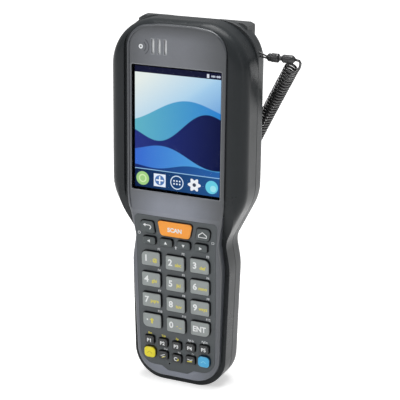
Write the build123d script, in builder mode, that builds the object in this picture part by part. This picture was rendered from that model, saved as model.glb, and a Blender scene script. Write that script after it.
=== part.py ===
from build123d import *

import os
from math import cos, radians, tan

# Portable barcode data terminal. Millimetres. It stands on its lower end:
# +Z runs up its length, +X is its right side as the user sees it, and the display faces -Y.
# The origin is the middle of the base. Depths are counted back from the foremost surface,
# the crest of the bumper, and heights are counted up from the base.

# ---------------------------------------------------------------- driving dimensions

# Display: 3.5 inch, 3:4 upright
PICTURE_HALF_WIDTH = 26.82
PICTURE_HALF_HEIGHT = 35.76
PICTURE_Z = 158.0
PICTURE_BORDER = 1.4
FASCIA_RIM = 2.7
BUMPER_WIDTH = 11.6
TOP_BAND = 27.4

# Keypad
KEY_PITCH_X = 15.75
KEY_PITCH_Z = 13.35
KEY_WIDTH = 11.95
KEY_HEIGHT = 8.95
FIRST_ROW_Z = 79.4
MIDDLE_DROP = 0.64
KEY_CORNER_R = 1.1
KEY_OUTER_CORNER_R = 3.2
SMALL_PITCH_X = 9.0
SMALL_KEY_WIDTH = 6.0
SMALL_KEY_HEIGHT = 5.2
SMALL_CORNER_R = 1.0
P_ROW_Z = 26.2
P_ROW_SAG = 1.1
BOTTOM_ROW_Z = 18.1
BOTTOM_ROW_SAG = 1.4
SHIFT_KEY_WIDTH = 7.4
SHIFT_KEY_HEIGHT = 7.0
SHIFT_KEY_CORNER_R = 2.4
SCAN_TOP_WIDTH = 22.6
SCAN_BOTTOM_WIDTH = 18.8
SCAN_HEIGHT = 9.2
SCAN_Z = 99.5
SIDE_KEY_X = 17.8
SIDE_KEY_WIDTH = 8.8
SIDE_KEY_HEIGHT = 7.5
SIDE_KEY_Z = 99.0
SIDE_KEY_LEAN = 0.6
ARROW_OUTER_X = 16.6
ARROW_INNER_X = 5.7
ARROW_WIDTH = 8.0
ARROW_HEIGHT = 4.7
ARROW_Z = 90.8
KEYPAD_TILT = 3.0
KEY_PROUD = 2.0
UPPER_PROUD = 1.4
KEY_TRAVEL = 0.8
KEY_TOP_BEVEL = 0.5
KEY_FLANGE = 0.65
KEY_FLANGE_BEVEL = 1.0
PLUNGER_SIDE = 2.4

# Keypad panel, the dark plate that the keys come through
PANEL_MARGIN = 3.6
PANEL_TOP_Z = 106.0
PANEL_BOTTOM_Z = 10.0
PANEL_THICKNESS = 1.2
PANEL_TOP_FLARE = 1.3
PANEL_TOP_R = 2.5
PANEL_BOTTOM_R = 9.0
PANEL_NOTCH_DROP = 2.6
PANEL_NOTCH_HALF = 10.5
PANEL_TOP_DEPTH = 1.6
PANEL_BORDER = 3.3
PANEL_SEAT = 0.8
MIC_X = -5.4
MIC_Z = 11.8
MIC_R = 0.5
GRIP_LIP = 2.9
MAT_RIM = 0.6

# Outline, seen from the front
WAIST_Z = 92.5
GRIP_Z = 77.0
SHOULDER_Z = 120.0
WAIST_NARROWING = 3.0
BASE_NARROWING = 2.2
HEAD_CORNER_R = 28.0
REAR_CORNER_R = 23.5
SHOULDER_R = 30.0
WAIST_R = 12.0
GRIP_R = 40.0
BASE_CORNER_R = 19.0
FASCIA_TOP_DROP = 2.0
FASCIA_CROWN = 2.6
FASCIA_CORNER_R = 14.0
FASCIA_BOTTOM_Z = 3.4
FASCIA_BOTTOM_R = 16.5
FASCIA_SHOULDER_R = 60.0
FASCIA_CREASE_Z = 111.0
CREASE_R = 10.0

# Depths, back from the crest of the bumper
FASCIA_DEPTH = 0.4
FASCIA_THICKNESS = 1.6
FASCIA_DISH = 0.6
FASCIA_RIM_WIDTH = 1.5
FASCIA_EDGE_R = 1.1
FASCIA_SKIRT_DEPTH = 11.0
GASKET_THICKNESS = 0.3
WINDOW_THICKNESS = 0.8
WINDOW_SEAT = 1.2
WINDOW_CORNER_R = 1.5
DISPLAY_THICKNESS = 3.5
LIP_DEPTH = 9.7
LEDGE_THICKNESS = 1.8
SEAM_DEPTH = 19.2
GRIP_BACK_DEPTH = 34.2
HEAD_BACK_DEPTH = 39.2
BUMPER_R = 8.0
BACK_R = 9.0
WALL = 2.2
FLOOR_THICKNESS = 2.1
SKIRT_WALL = 1.4
GROOVE_WIDTH = 1.5
GROOVE_DEPTH = 1.6
SEAM_BEVEL = 0.4
SEAL_INSET = 0.7
SEAL_WIDTH = 0.9
SEAL_HALF = 0.45

# Fits
CLEARANCE = 0.15
PANEL_GAP = 0.15
KEY_CLEARANCE = 0.45
MAT_CLEARANCE = 0.25
BOARD_CLEARANCE = 0.3

# Boards
BOARD_THICKNESS = 1.4
MAT_THICKNESS = 0.45
BOARD_HALF_WIDTH = 31.0
BOARD_BOTTOM_Z = 121.0
BOARD_TOP_Z = 211.0
SHIELD_WIDTH = 42.0
SHIELD_HEIGHT = 34.0
SHIELD_THICKNESS = 2.4

# Status light and speaker, in the band above the display
LIGHT_X = -22.0
LIGHT_Z = 205.4
LIGHT_R = 1.3
SLOT_X = -10.6
SLOT_Z = 206.0
SLOT_PITCH = 3.9
SLOT_WIDTH = 1.7
SLOT_HEIGHT = 8.6
SPEAKER_R = 7.0
SPEAKER_THICKNESS = 3.6
MESH_THICKNESS = 0.3

# Battery, in the back of the grip
DOOR_HALF_WIDTH = 20.0
DOOR_BOTTOM_Z = 25.0
DOOR_TOP_Z = 101.0
DOOR_THICKNESS = 2.2
DOOR_CORNER_R = 5.0
DOOR_GAP = 0.3
DOOR_LEDGE = 1.6
PACK_FRONT = 19.6
PACK_TOP_Z = 84.0
LOCK_HALF_WIDTH = 6.0
LOCK_HEIGHT = 6.0
LOCK_Z = 90.5
LOCK_TRAVEL = 3.0
LOCK_PROUD = 0.8
LOCK_POCKET = 1.2
LOCK_NECK = 3.0
TONGUE_HALF_WIDTH = 4.0
TONGUE_THICKNESS = 1.2

# Scan window and rear top pads
SCAN_POCKET_HALF = 14.0
SCAN_POCKET_FRONT = 22.5
SCAN_POCKET_BACK = 36.0
SCAN_POCKET_FLOOR_Z = 211.5
SCAN_WINDOW_THICKNESS = 1.5
SCAN_WINDOW_LEDGE = 1.8
ENGINE_HEIGHT = 16.0
HUMP_HALF_WIDTH = 31.5
HUMP_BOTTOM_Z = 133.0
HUMP_TOP_DROP = 1.2
HUMP_R = 4.5
HUMP_CORNER_R = 14.0
TOP_SLOPE = 17.0
PAD_INNER_X = 16.5
PAD_OUTER_X = 34.0
PAD_FRONT = 22.5
PAD_BACK = 34.0
PAD_BOTTOM_Z = 204.0
PAD_PROUD = 1.4
PAD_DROP = 0.5
PAD_SLOPE_DROP = 1.6
PAD_EDGE = 1.2
PAD_SINK = 1.0

# Screws
SCREW_HEAD_R = 2.1
SCREW_HEAD_HEIGHT = 1.6
SCREW_SHANK_R = 1.1
SCREW_BITE = 5.0
SCREW_SINK = 1.6
BOSS_R = 3.0
SCREW_HEAD_X = 36.0
SCREW_HEAD_Z = 176.0
SCREW_SHOULDER_X = 29.0
SCREW_SHOULDER_Z = 115.5
SCREW_BASE_X = 17.0
SCREW_BASE_Z = 10.0

# Hand strap, its bars and the stylus
STRAP_GAP = 11.0
STRAP_THICKNESS = 2.5
STRAP_HALF_WIDTH = 13.0
STRAP_BEND_R = 22.0
STRAP_TOP_Z = 106.0
STRAP_LOW_Z = 40.0
STRAP_EYE_WALL = 1.8
BAR_R = 1.5
BAR_STANDOFF = 3.9
BAR_TOP_Z = 125.0
BAR_LOW_Z = 16.0
LUG_THICKNESS = 3.0
LUG_R = 3.4
LUG_SIDE_GAP = 0.4
STYLUS_X = 8.6
STYLUS_R = 3.0
STYLUS_TAIL_R = 3.7
STYLUS_TIP_R = 0.8
STYLUS_TIP_Z = 14.0
STYLUS_TAPER_Z = 26.0
STYLUS_TOP_Z = 97.0
SLEEVE_BOTTOM_Z = 48.0
SLEEVE_TOP_Z = 80.0
SLEEVE_WALL = 0.9
STYLUS_CLEARANCE = 0.08

# Dock contacts, in the base
DOCK_HALF_WIDTH = 12.0
DOCK_FRONT = 21.6
DOCK_BACK = 28.6
DOCK_RECESS = 1.2
DOCK_BLOCK_HEIGHT = 3.2
DOCK_PADS = 8
DOCK_PAD_PITCH = 2.6
DOCK_PAD_WIDTH = 1.5
DOCK_PAD_HEIGHT = 0.4

# Tether: anchor holes, thin loop, clasp, lead and curly coil
TETHER_DEPTH = 22.7
TETHER_Z = 201.6
LOOP_R = 0.5
LOOP_UPPER = (40.5, 204.3)
LOOP_LOWER = (40.8, 202.0)
LOOP_GAP = 0.1
CLASP_START_X = 45.9
CLASP_LENGTH = 8.45
CLASP_NECK = 0.75
CLASP_TAPER = 1.3
CLASP_R = 2.6
CLASP_NECK_R = 1.3
LEAD_R = 0.75
LEAD_REACH = 3.4
LEAD_DROP = 3.0
COIL_R = 4.5
COIL_WIRE_R = 0.75
COIL_ROUTE = [
    (60.6, 24.6, 196.9),
    (44.3, 38.0, 171.5),
    (30.0, 47.4, 147.0),
    (20.5, 52.2, 131.0),
    (13.5, 53.0, 119.5),
]
COIL_LOW_Z = 109.0
COIL_TAIL_DEPTH = 52.4
COIL_END_Z = 98.5

# ---------------------------------------------------------------- derived sizes

WINDOW_OPEN_HALF_WIDTH = PICTURE_HALF_WIDTH + PICTURE_BORDER
WINDOW_OPEN_HALF_HEIGHT = PICTURE_HALF_HEIGHT + PICTURE_BORDER
WINDOW_HALF_WIDTH = WINDOW_OPEN_HALF_WIDTH + WINDOW_SEAT
WINDOW_HALF_HEIGHT = WINDOW_OPEN_HALF_HEIGHT + WINDOW_SEAT
FASCIA_HEAD_HALF = WINDOW_OPEN_HALF_WIDTH + FASCIA_RIM
HEAD_HALF = FASCIA_HEAD_HALF + BUMPER_WIDTH
PANEL_HALF = KEY_PITCH_X + KEY_WIDTH / 2 + PANEL_MARGIN
FASCIA_GRIP_HALF = PANEL_HALF + PANEL_BORDER
GRIP_HALF = FASCIA_GRIP_HALF + GRIP_LIP
HEIGHT = PICTURE_Z + PICTURE_HALF_HEIGHT + TOP_BAND
FASCIA_TOP_Z = HEIGHT - FASCIA_TOP_DROP

FASCIA_BACK = FASCIA_DEPTH + FASCIA_THICKNESS
FASCIA_FACE = FASCIA_DEPTH + FASCIA_DISH
WINDOW_FRONT = FASCIA_BACK + GASKET_THICKNESS
WINDOW_BACK = WINDOW_FRONT + WINDOW_THICKNESS
PICTURE_DEPTH = WINDOW_BACK + 0.1
DISPLAY_BACK = PICTURE_DEPTH + DISPLAY_THICKNESS
FLOOR_FRONT = FASCIA_BACK + 0.05
FLOOR_BACK = FLOOR_FRONT + FLOOR_THICKNESS
MAIN_BOARD_DEPTH = DISPLAY_BACK + 0.3
LEDGE_FRONT = FASCIA_SKIRT_DEPTH + CLEARANCE
LEDGE_BACK = LEDGE_FRONT + LEDGE_THICKNESS

STRAP_INNER = GRIP_BACK_DEPTH + STRAP_GAP
STRAP_OUTER = STRAP_INNER + STRAP_THICKNESS
STYLUS_DEPTH = STRAP_OUTER + 0.1 + SLEEVE_WALL + STYLUS_CLEARANCE + STYLUS_R
SLEEVE_R = STYLUS_R + STYLUS_CLEARANCE + SLEEVE_WALL
TOTAL_DEPTH = STYLUS_DEPTH + SLEEVE_R
FRONT_Y = -TOTAL_DEPTH / 2

BAR_DEPTH = GRIP_BACK_DEPTH + BAR_STANDOFF
LUG_X = STRAP_HALF_WIDTH + LUG_SIDE_GAP + LUG_THICKNESS / 2
KEY_FLANGE_TOP_N = -PANEL_THICKNESS - 0.1
KEY_BOTTOM_N = KEY_FLANGE_TOP_N - 0.3
SEAT_BOTTOM_N = -2.6
MAT_TOP_N = KEY_BOTTOM_N - KEY_TRAVEL - MAT_CLEARANCE
BOARD_TOP_N = MAT_TOP_N - MAT_THICKNESS - 1.7
PLUNGER_BOTTOM_N = BOARD_TOP_N + KEY_TRAVEL + 0.2


def at_depth(depth):
    """Front-view plane at a depth behind the bumper's crest: x is X, y is Z, normal to the front."""
    return Plane.XZ.offset(-(FRONT_Y + depth))


def side_point(depth, height):
    """Point of the side view, on Plane.YZ."""
    return (FRONT_Y + depth, height)


def on_panel(rise):
    """Plane parallel to the keypad panel's face, `rise` proud of it; y is height above the base."""
    tilt = radians(KEYPAD_TILT)
    depth_at_base = PANEL_TOP_DEPTH + tan(tilt) * PANEL_TOP_Z
    face = Plane(
        origin=(0, FRONT_Y + depth_at_base, 0),
        x_dir=(1, 0, 0),
        z_dir=(0, -cos(tilt), -tan(tilt) * cos(tilt)),
    )
    return face.offset(rise)


def mirrored_face(points, radii):
    """Closed outline from its right half, which runs from the bottom centre to the top centre."""
    with BuildSketch() as sketch:
        with BuildLine():
            FilletPolyline(*points, radius=radii)
            mirror(about=Plane.YZ)
        make_face()
    return sketch.sketch


def housing_outline(top_corner_r):
    waist = GRIP_HALF - WAIST_NARROWING
    points = [
        (0, 0),
        (GRIP_HALF - BASE_NARROWING, 0),
        (GRIP_HALF, GRIP_Z),
        (waist, WAIST_Z),
        (HEAD_HALF, SHOULDER_Z),
        (HEAD_HALF, HEIGHT),
        (0, HEIGHT),
    ]
    return mirrored_face(points, [BASE_CORNER_R, GRIP_R, WAIST_R, SHOULDER_R, top_corner_r])


def fascia_outline():
    points = [
        (0, FASCIA_BOTTOM_Z),
        (FASCIA_GRIP_HALF - BASE_NARROWING, FASCIA_BOTTOM_Z),
        (FASCIA_GRIP_HALF, GRIP_Z),
        (FASCIA_GRIP_HALF - 0.8 * WAIST_NARROWING, WAIST_Z),
        (FASCIA_HEAD_HALF, SHOULDER_Z - 4),
        (FASCIA_HEAD_HALF, FASCIA_TOP_Z - FASCIA_CROWN),
        (FASCIA_HEAD_HALF / 3, FASCIA_TOP_Z),
        (0, FASCIA_TOP_Z),
    ]
    radii = [FASCIA_BOTTOM_R, GRIP_R, WAIST_R, FASCIA_SHOULDER_R, FASCIA_CORNER_R, FASCIA_SHOULDER_R]
    return mirrored_face(points, radii)


def panel_outline():
    points = [
        (0, PANEL_BOTTOM_Z - PANEL_NOTCH_DROP),
        (PANEL_NOTCH_HALF - 4, PANEL_BOTTOM_Z - PANEL_NOTCH_DROP),
        (PANEL_NOTCH_HALF, PANEL_BOTTOM_Z),
        (PANEL_HALF - 0.5 * BASE_NARROWING, PANEL_BOTTOM_Z),
        (PANEL_HALF, GRIP_Z - 10),
        (PANEL_HALF, WAIST_Z - 2),
        (PANEL_HALF + PANEL_TOP_FLARE, PANEL_TOP_Z),
        (0, PANEL_TOP_Z),
    ]
    return mirrored_face(points, [2, 2, PANEL_BOTTOM_R, GRIP_R, WAIST_R, PANEL_TOP_R])


HOUSING = housing_outline(HEAD_CORNER_R)
REAR_OUTLINE = housing_outline(REAR_CORNER_R)
FASCIA = fascia_outline()
PANEL = panel_outline()


def grow(face, amount):
    """The same outline, moved outwards by an amount, or inwards by a negative one."""
    with BuildSketch() as sketch:
        add(face)
        offset(amount=amount, kind=Kind.INTERSECTION)
    return sketch.sketch


def above(face, height):
    """The stretch of an outline above a height."""
    with BuildSketch() as sketch:
        add(face)
        with Locations((0, height + HEIGHT / 2)):
            Rectangle(4 * HEAD_HALF, HEIGHT, mode=Mode.INTERSECT)
    return sketch.sketch


def below(face, height):
    """The stretch of an outline below a height."""
    with BuildSketch() as sketch:
        add(face)
        with Locations((0, height - HEIGHT / 2)):
            Rectangle(4 * HEAD_HALF, HEIGHT, mode=Mode.INTERSECT)
    return sketch.sketch


def slab(face, front, back):
    """Plate with a front-view outline between two depths."""
    with BuildPart() as plate:
        with BuildSketch(at_depth(back)):
            add(face)
        extrude(amount=back - front)
    return plate.part


def tilted_slab(face, top, bottom):
    """Plate parallel to the keypad panel, between two heights over its face."""
    with BuildPart() as plate:
        with BuildSketch(on_panel(bottom)):
            add(face)
        extrude(amount=top - bottom)
    return plate.part


def block(x_low, x_high, front, back, z_low, z_high):
    """Plain block between limits in X, depth and Z."""
    with BuildPart() as made:
        with Locations(((x_low + x_high) / 2, FRONT_Y + (front + back) / 2, (z_low + z_high) / 2)):
            Box(x_high - x_low, back - front, z_high - z_low)
    return made.part


def rounded(width, height, corner_r, x=0.0, z=0.0):
    """Rounded rectangle of the front view."""
    with BuildSketch() as sketch:
        with Locations((x, z)):
            RectangleRounded(width, height, corner_r)
    return sketch.sketch


def finish(piece, name):
    """Label a piece and write it."""
    piece.label = name
    export_step(piece, f"parts/{name}.step")


os.makedirs("parts", exist_ok=True)

# ---------------------------------------------------------------- seal between the housing halves

SEAL_GROOVE = slab(grow(HOUSING, -SEAL_INSET), SEAM_DEPTH - SEAL_HALF, SEAM_DEPTH + SEAL_HALF) - slab(
    grow(HOUSING, -SEAL_INSET - SEAL_WIDTH), SEAM_DEPTH - 1, SEAM_DEPTH + 1
)

with BuildPart() as housing_seal:
    add(slab(grow(HOUSING, -SEAL_INSET - 0.05), SEAM_DEPTH - SEAL_HALF + 0.05, SEAM_DEPTH + SEAL_HALF - 0.05))
    add(slab(grow(HOUSING, -SEAL_INSET - SEAL_WIDTH + 0.05), SEAM_DEPTH - 1, SEAM_DEPTH + 1), mode=Mode.SUBTRACT)
finish(housing_seal.part, "housing_seal")

# ---------------------------------------------------------------- screws

HEAD_SPOTS = [
    (side * x, z)
    for x, z in ((SCREW_HEAD_X, SCREW_HEAD_Z), (SCREW_SHOULDER_X, SCREW_SHOULDER_Z))
    for side in (-1, 1)
]
BASE_SPOTS = [(side * SCREW_BASE_X, SCREW_BASE_Z) for side in (-1, 1)]
SCREW_SPOTS = HEAD_SPOTS + BASE_SPOTS
SCREW_BACK = GRIP_BACK_DEPTH - SCREW_SINK
SCREW_SHOULDER = SCREW_BACK - SCREW_HEAD_HEIGHT


def posts(spots, radius, front, back):
    """Round posts between two depths, one at each spot."""
    with BuildPart() as made:
        with BuildSketch(at_depth(back)):
            with Locations(*spots):
                Circle(radius)
        extrude(amount=back - front)
    return made.part


with BuildPart() as housing_screws:
    add(posts(SCREW_SPOTS, SCREW_HEAD_R, SCREW_SHOULDER, SCREW_BACK))
    add(posts(SCREW_SPOTS, SCREW_SHANK_R, SEAM_DEPTH - SCREW_BITE, SCREW_SHOULDER))
finish(housing_screws.part, "housing_screws")

# ---------------------------------------------------------------- front housing

with BuildPart() as front_shape:
    with BuildSketch(at_depth(SEAM_DEPTH)):
        add(HOUSING)
    extrude(amount=SEAM_DEPTH)
    fillet(front_shape.faces().sort_by(Axis.Y)[0].edges(), BUMPER_R)
    chamfer(front_shape.faces().sort_by(Axis.Y)[-1].edges(), SEAM_BEVEL)

# What is missing in front of the grip: the bumper flows back into the thin bands beside the keypad
with BuildPart() as grip_relief:
    with BuildSketch(Plane.YZ.offset(-2 * HEAD_HALF)):
        with BuildLine():
            crest = side_point(0, SHOULDER_Z + 6)
            foot = side_point(LIP_DEPTH, WAIST_Z - 6)
            Spline(crest, foot, tangents=((0, -1), (0, -1)))
            Polyline(foot, side_point(LIP_DEPTH, -5), side_point(-5, -5), side_point(-5, crest[1]), crest)
        make_face()
    extrude(amount=4 * HEAD_HALF)

SKIRT_TOP_Z = FASCIA_CREASE_Z - CLEARANCE
POCKET = grow(FASCIA, CLEARANCE)
INSIDE = grow(HOUSING, -WALL)

with BuildPart() as front_housing:
    add(front_shape.part)
    add(grip_relief.part, mode=Mode.SUBTRACT)
    # cavity behind the head's floor, and behind the ledge that carries the fascia's skirt
    add(slab(above(INSIDE, FASCIA_CREASE_Z + WALL), FLOOR_BACK, SEAM_DEPTH), mode=Mode.SUBTRACT)
    add(slab(INSIDE, LEDGE_BACK, SEAM_DEPTH), mode=Mode.SUBTRACT)
    add(slab(below(grow(FASCIA, -SKIRT_WALL), SKIRT_TOP_Z), -1, LEDGE_BACK), mode=Mode.SUBTRACT)
    # pocket for the fascia and the groove round it
    add(slab(POCKET, -1, FLOOR_FRONT), mode=Mode.SUBTRACT)
    add(slab(below(POCKET, FASCIA_CREASE_Z), -1, LEDGE_FRONT), mode=Mode.SUBTRACT)
    add(slab(grow(FASCIA, GROOVE_WIDTH), -1, GROOVE_DEPTH), mode=Mode.SUBTRACT)
    # openings in the head's floor for the window, the speaker and the status light
    with BuildSketch(at_depth(FLOOR_BACK + 1)):
        with Locations((0, PICTURE_Z)):
            RectangleRounded(
                2 * (WINDOW_HALF_WIDTH + CLEARANCE),
                2 * (WINDOW_HALF_HEIGHT + CLEARANCE),
                WINDOW_CORNER_R + CLEARANCE,
            )
        with Locations((SLOT_X, SLOT_Z)):
            Circle(SPEAKER_R + CLEARANCE)
        with Locations((LIGHT_X, LIGHT_Z)):
            Circle(LIGHT_R + CLEARANCE)
    extrude(amount=FLOOR_BACK + 2, mode=Mode.SUBTRACT)
    # screw posts: on the floor in the head, on ribs from the base in the grip
    add(posts(HEAD_SPOTS, BOSS_R, FLOOR_BACK - 0.5, SEAM_DEPTH))
    add(posts(BASE_SPOTS, BOSS_R, LEDGE_BACK + 0.5, SEAM_DEPTH))
    for x, z in BASE_SPOTS:
        add(block(x - 1, x + 1, LEDGE_BACK + 0.5, SEAM_DEPTH, WALL - 1, z))
    add(
        posts(SCREW_SPOTS, SCREW_SHANK_R + 0.05, SEAM_DEPTH - SCREW_BITE - 0.3, SEAM_DEPTH + 1),
        mode=Mode.SUBTRACT,
    )
    add(SEAL_GROOVE, mode=Mode.SUBTRACT)
finish(front_housing.part, "front_housing")

# ---------------------------------------------------------------- rear housing and its pads


def hump_outline(inset):
    """Outline of the hump on the back of the head, drawn in by an inset."""
    bottom = HUMP_BOTTOM_Z + inset
    top = HEIGHT - HUMP_TOP_DROP - inset
    return rounded(2 * (HUMP_HALF_WIDTH - inset), top - bottom, HUMP_CORNER_R - inset, z=(top + bottom) / 2)


def over_slope(inset):
    """What lies over the top, which falls away behind the seam; it starts an inset lower."""
    edge = side_point(SEAM_DEPTH + 1, HEIGHT - inset)
    foot = (edge[0] + HEAD_BACK_DEPTH, edge[1] - tan(radians(TOP_SLOPE)) * HEAD_BACK_DEPTH)
    with BuildPart() as over:
        with BuildSketch(Plane.YZ.offset(-2 * HEAD_HALF)):
            with BuildLine():
                Polyline(edge, foot, (foot[0], HEIGHT + 5), (edge[0], HEIGHT + 5), close=True)
            make_face()
        extrude(amount=4 * HEAD_HALF)
    return over.part


def rear_body(outline, inset):
    """Back of the device: the plate behind the seam and the hump on the head, all drawn in by an inset."""
    back = GRIP_BACK_DEPTH - inset
    hump_back = HEAD_BACK_DEPTH - inset
    with BuildPart() as plate:
        with BuildSketch(at_depth(back)):
            add(grow(outline, -inset))
        extrude(amount=back - SEAM_DEPTH)
        fillet(plate.faces().sort_by(Axis.Y)[-1].edges(), BACK_R - inset)
    with BuildPart() as hump:
        with BuildSketch(at_depth(hump_back)):
            add(hump_outline(inset))
        extrude(amount=hump_back - GRIP_BACK_DEPTH + BACK_R)
        fillet(hump.faces().sort_by(Axis.Y)[-1].edges(), HUMP_R - inset)
    with BuildPart() as body:
        add(plate.part)
        add(hump.part)
        add(over_slope(inset), mode=Mode.SUBTRACT)
    return body.part


REAR_SHAPE = rear_body(REAR_OUTLINE, 0)

# The cavity steps in where the back and the hump round off, so that the wall stays thick there
BACK_START = GRIP_BACK_DEPTH - BACK_R
BACK_STEP = WALL + BACK_R / 2
HUMP_STEP = WALL + HUMP_R / 2

with BuildPart() as rear_cavity:
    add(slab(grow(HOUSING, -WALL), SEAM_DEPTH - 1, BACK_START))
    add(slab(grow(HOUSING, -BACK_STEP), BACK_START - 1, GRIP_BACK_DEPTH - WALL))
    add(slab(hump_outline(HUMP_STEP), BACK_START, HEAD_BACK_DEPTH - WALL))
    add(over_slope(WALL), mode=Mode.SUBTRACT)

# The pads wrap the two rear top corners, let into the housing
with BuildPart() as top_pads:
    with BuildSketch(Plane.YZ.offset(PAD_INNER_X)):
        with BuildLine():
            pad_top = HEIGHT - PAD_DROP
            Polyline(
                side_point(PAD_FRONT, PAD_BOTTOM_Z),
                side_point(PAD_FRONT, pad_top - PAD_EDGE),
                side_point(PAD_FRONT + PAD_EDGE, pad_top),
                side_point(PAD_BACK - PAD_EDGE, pad_top - PAD_SLOPE_DROP),
                side_point(PAD_BACK, pad_top - PAD_SLOPE_DROP - PAD_EDGE),
                side_point(PAD_BACK, PAD_BOTTOM_Z),
                close=True,
            )
        make_face()
    extrude(amount=PAD_OUTER_X - PAD_INNER_X)
    add(slab(grow(REAR_OUTLINE, PAD_PROUD), PAD_FRONT - 1, PAD_BACK + 1), mode=Mode.INTERSECT)
    add(rear_body(REAR_OUTLINE, PAD_SINK), mode=Mode.SUBTRACT)
    mirror(about=Plane.YZ)
finish(top_pads.part, "top_pads")

DOOR_Z = (DOOR_BOTTOM_Z + DOOR_TOP_Z) / 2
DOOR_HEIGHT = DOOR_TOP_Z - DOOR_BOTTOM_Z
DOOR_INNER = GRIP_BACK_DEPTH - DOOR_THICKNESS
DOOR_SEAT = DOOR_INNER - 0.05


def door_outline(amount):
    return rounded(
        2 * (DOOR_HALF_WIDTH + amount), DOOR_HEIGHT + 2 * amount, DOOR_CORNER_R + amount, z=DOOR_Z
    )


LOOP_HOLES = []
for start, side in ((LOOP_UPPER, 1), (LOOP_LOWER, -1)):
    LOOP_HOLES.append(
        (
            (start[0], FRONT_Y + TETHER_DEPTH, start[1]),
            (CLASP_START_X, FRONT_Y + TETHER_DEPTH, TETHER_Z + side * (LOOP_R + LOOP_GAP / 2)),
        )
    )


def rod(start, end, radius):
    """Round rod between two points."""
    run = Vector(*end) - Vector(*start)
    with BuildPart() as made:
        with BuildSketch(Plane(origin=start, z_dir=run)):
            Circle(radius)
        extrude(amount=run.length)
    return made.part


with BuildPart() as rear_housing:
    add(REAR_SHAPE)
    chamfer(rear_housing.faces().sort_by(Axis.Y)[0].edges(), SEAM_BEVEL)
    add(rear_cavity.part, mode=Mode.SUBTRACT)
    # walls of the scan window's pocket, in the top
    add(
        block(
            -SCAN_POCKET_HALF - WALL,
            SCAN_POCKET_HALF + WALL,
            SCAN_POCKET_FRONT - WALL,
            SCAN_POCKET_BACK + WALL,
            SCAN_POCKET_FLOOR_Z - WALL,
            HEIGHT,
        )
        & REAR_SHAPE
    )
    add(
        block(
            -SCAN_POCKET_HALF,
            SCAN_POCKET_HALF,
            SCAN_POCKET_FRONT,
            SCAN_POCKET_BACK,
            SCAN_POCKET_FLOOR_Z,
            HEIGHT + 1,
        ),
        mode=Mode.SUBTRACT,
    )
    add(
        block(
            -SCAN_POCKET_HALF + SCAN_WINDOW_LEDGE,
            SCAN_POCKET_HALF - SCAN_WINDOW_LEDGE,
            SCAN_POCKET_FRONT + SCAN_WINDOW_LEDGE,
            SCAN_POCKET_BACK - SCAN_WINDOW_LEDGE,
            SCAN_POCKET_FLOOR_Z - WALL - 1,
            HEIGHT,
        ),
        mode=Mode.SUBTRACT,
    )
    add(top_pads.part, mode=Mode.SUBTRACT)
    # battery opening with the ledge that the door sits on
    add(slab(door_outline(2 * DOOR_LEDGE), DOOR_SEAT - DOOR_LEDGE, DOOR_SEAT))
    add(slab(door_outline(-DOOR_LEDGE), SEAM_DEPTH, GRIP_BACK_DEPTH + 1), mode=Mode.SUBTRACT)
    add(slab(door_outline(DOOR_GAP), DOOR_SEAT, GRIP_BACK_DEPTH + 1), mode=Mode.SUBTRACT)
    # screw bosses
    add(posts(SCREW_SPOTS, BOSS_R, SEAM_DEPTH, GRIP_BACK_DEPTH - 0.8 * WALL))
    add(posts(SCREW_SPOTS, SCREW_SHANK_R + 0.1, SEAM_DEPTH - 1, GRIP_BACK_DEPTH), mode=Mode.SUBTRACT)
    add(posts(SCREW_SPOTS, SCREW_HEAD_R + 0.1, SCREW_SHOULDER, GRIP_BACK_DEPTH + 1), mode=Mode.SUBTRACT)
    add(SEAL_GROOVE, mode=Mode.SUBTRACT)
    # dock opening in the base
    add(
        block(-DOCK_HALF_WIDTH, DOCK_HALF_WIDTH, DOCK_FRONT, DOCK_BACK, -1, DOCK_RECESS),
        mode=Mode.SUBTRACT,
    )
    add(
        block(-DOCK_HALF_WIDTH + 1, DOCK_HALF_WIDTH - 1, DOCK_FRONT + 1, DOCK_BACK - 1, -1, 2 * WALL),
        mode=Mode.SUBTRACT,
    )
    # lugs for the strap bars
    for bar_z in (BAR_LOW_Z, BAR_TOP_Z):
        for side in (-1, 1):
            with BuildSketch(Plane.YZ.offset(side * LUG_X - LUG_THICKNESS / 2)):
                with Locations(side_point(BAR_DEPTH, bar_z)):
                    Circle(LUG_R)
                with Locations(side_point((GRIP_BACK_DEPTH - WALL / 2 + BAR_DEPTH) / 2, bar_z)):
                    Rectangle(BAR_DEPTH - GRIP_BACK_DEPTH + WALL / 2, 2 * LUG_R)
                with Locations(side_point(BAR_DEPTH, bar_z)):
                    Circle(BAR_R + 0.05, mode=Mode.SUBTRACT)
            extrude(amount=LUG_THICKNESS)
    # holes that the tether's loop is anchored in
    for start, end in LOOP_HOLES:
        add(rod(start, end, LOOP_R + 0.05), mode=Mode.SUBTRACT)
finish(rear_housing.part, "rear_housing")

# ---------------------------------------------------------------- keys

TILT = radians(KEYPAD_TILT)
PRESS = Axis((0, 0, 0), (0, cos(TILT), tan(TILT) * cos(TILT)))


def key_face(corners, radii):
    """Key's outline from its four corners, anticlockwise from the bottom left."""
    with BuildSketch() as sketch:
        with BuildLine():
            FilletPolyline(*corners, radius=radii, close=True)
        make_face()
    return sketch.sketch


def key_box(x, z, width, height, radii):
    corners = [
        (x - width / 2, z - height / 2),
        (x + width / 2, z - height / 2),
        (x + width / 2, z + height / 2),
        (x - width / 2, z + height / 2),
    ]
    return key_face(corners, radii)


KEYS = {}

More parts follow.
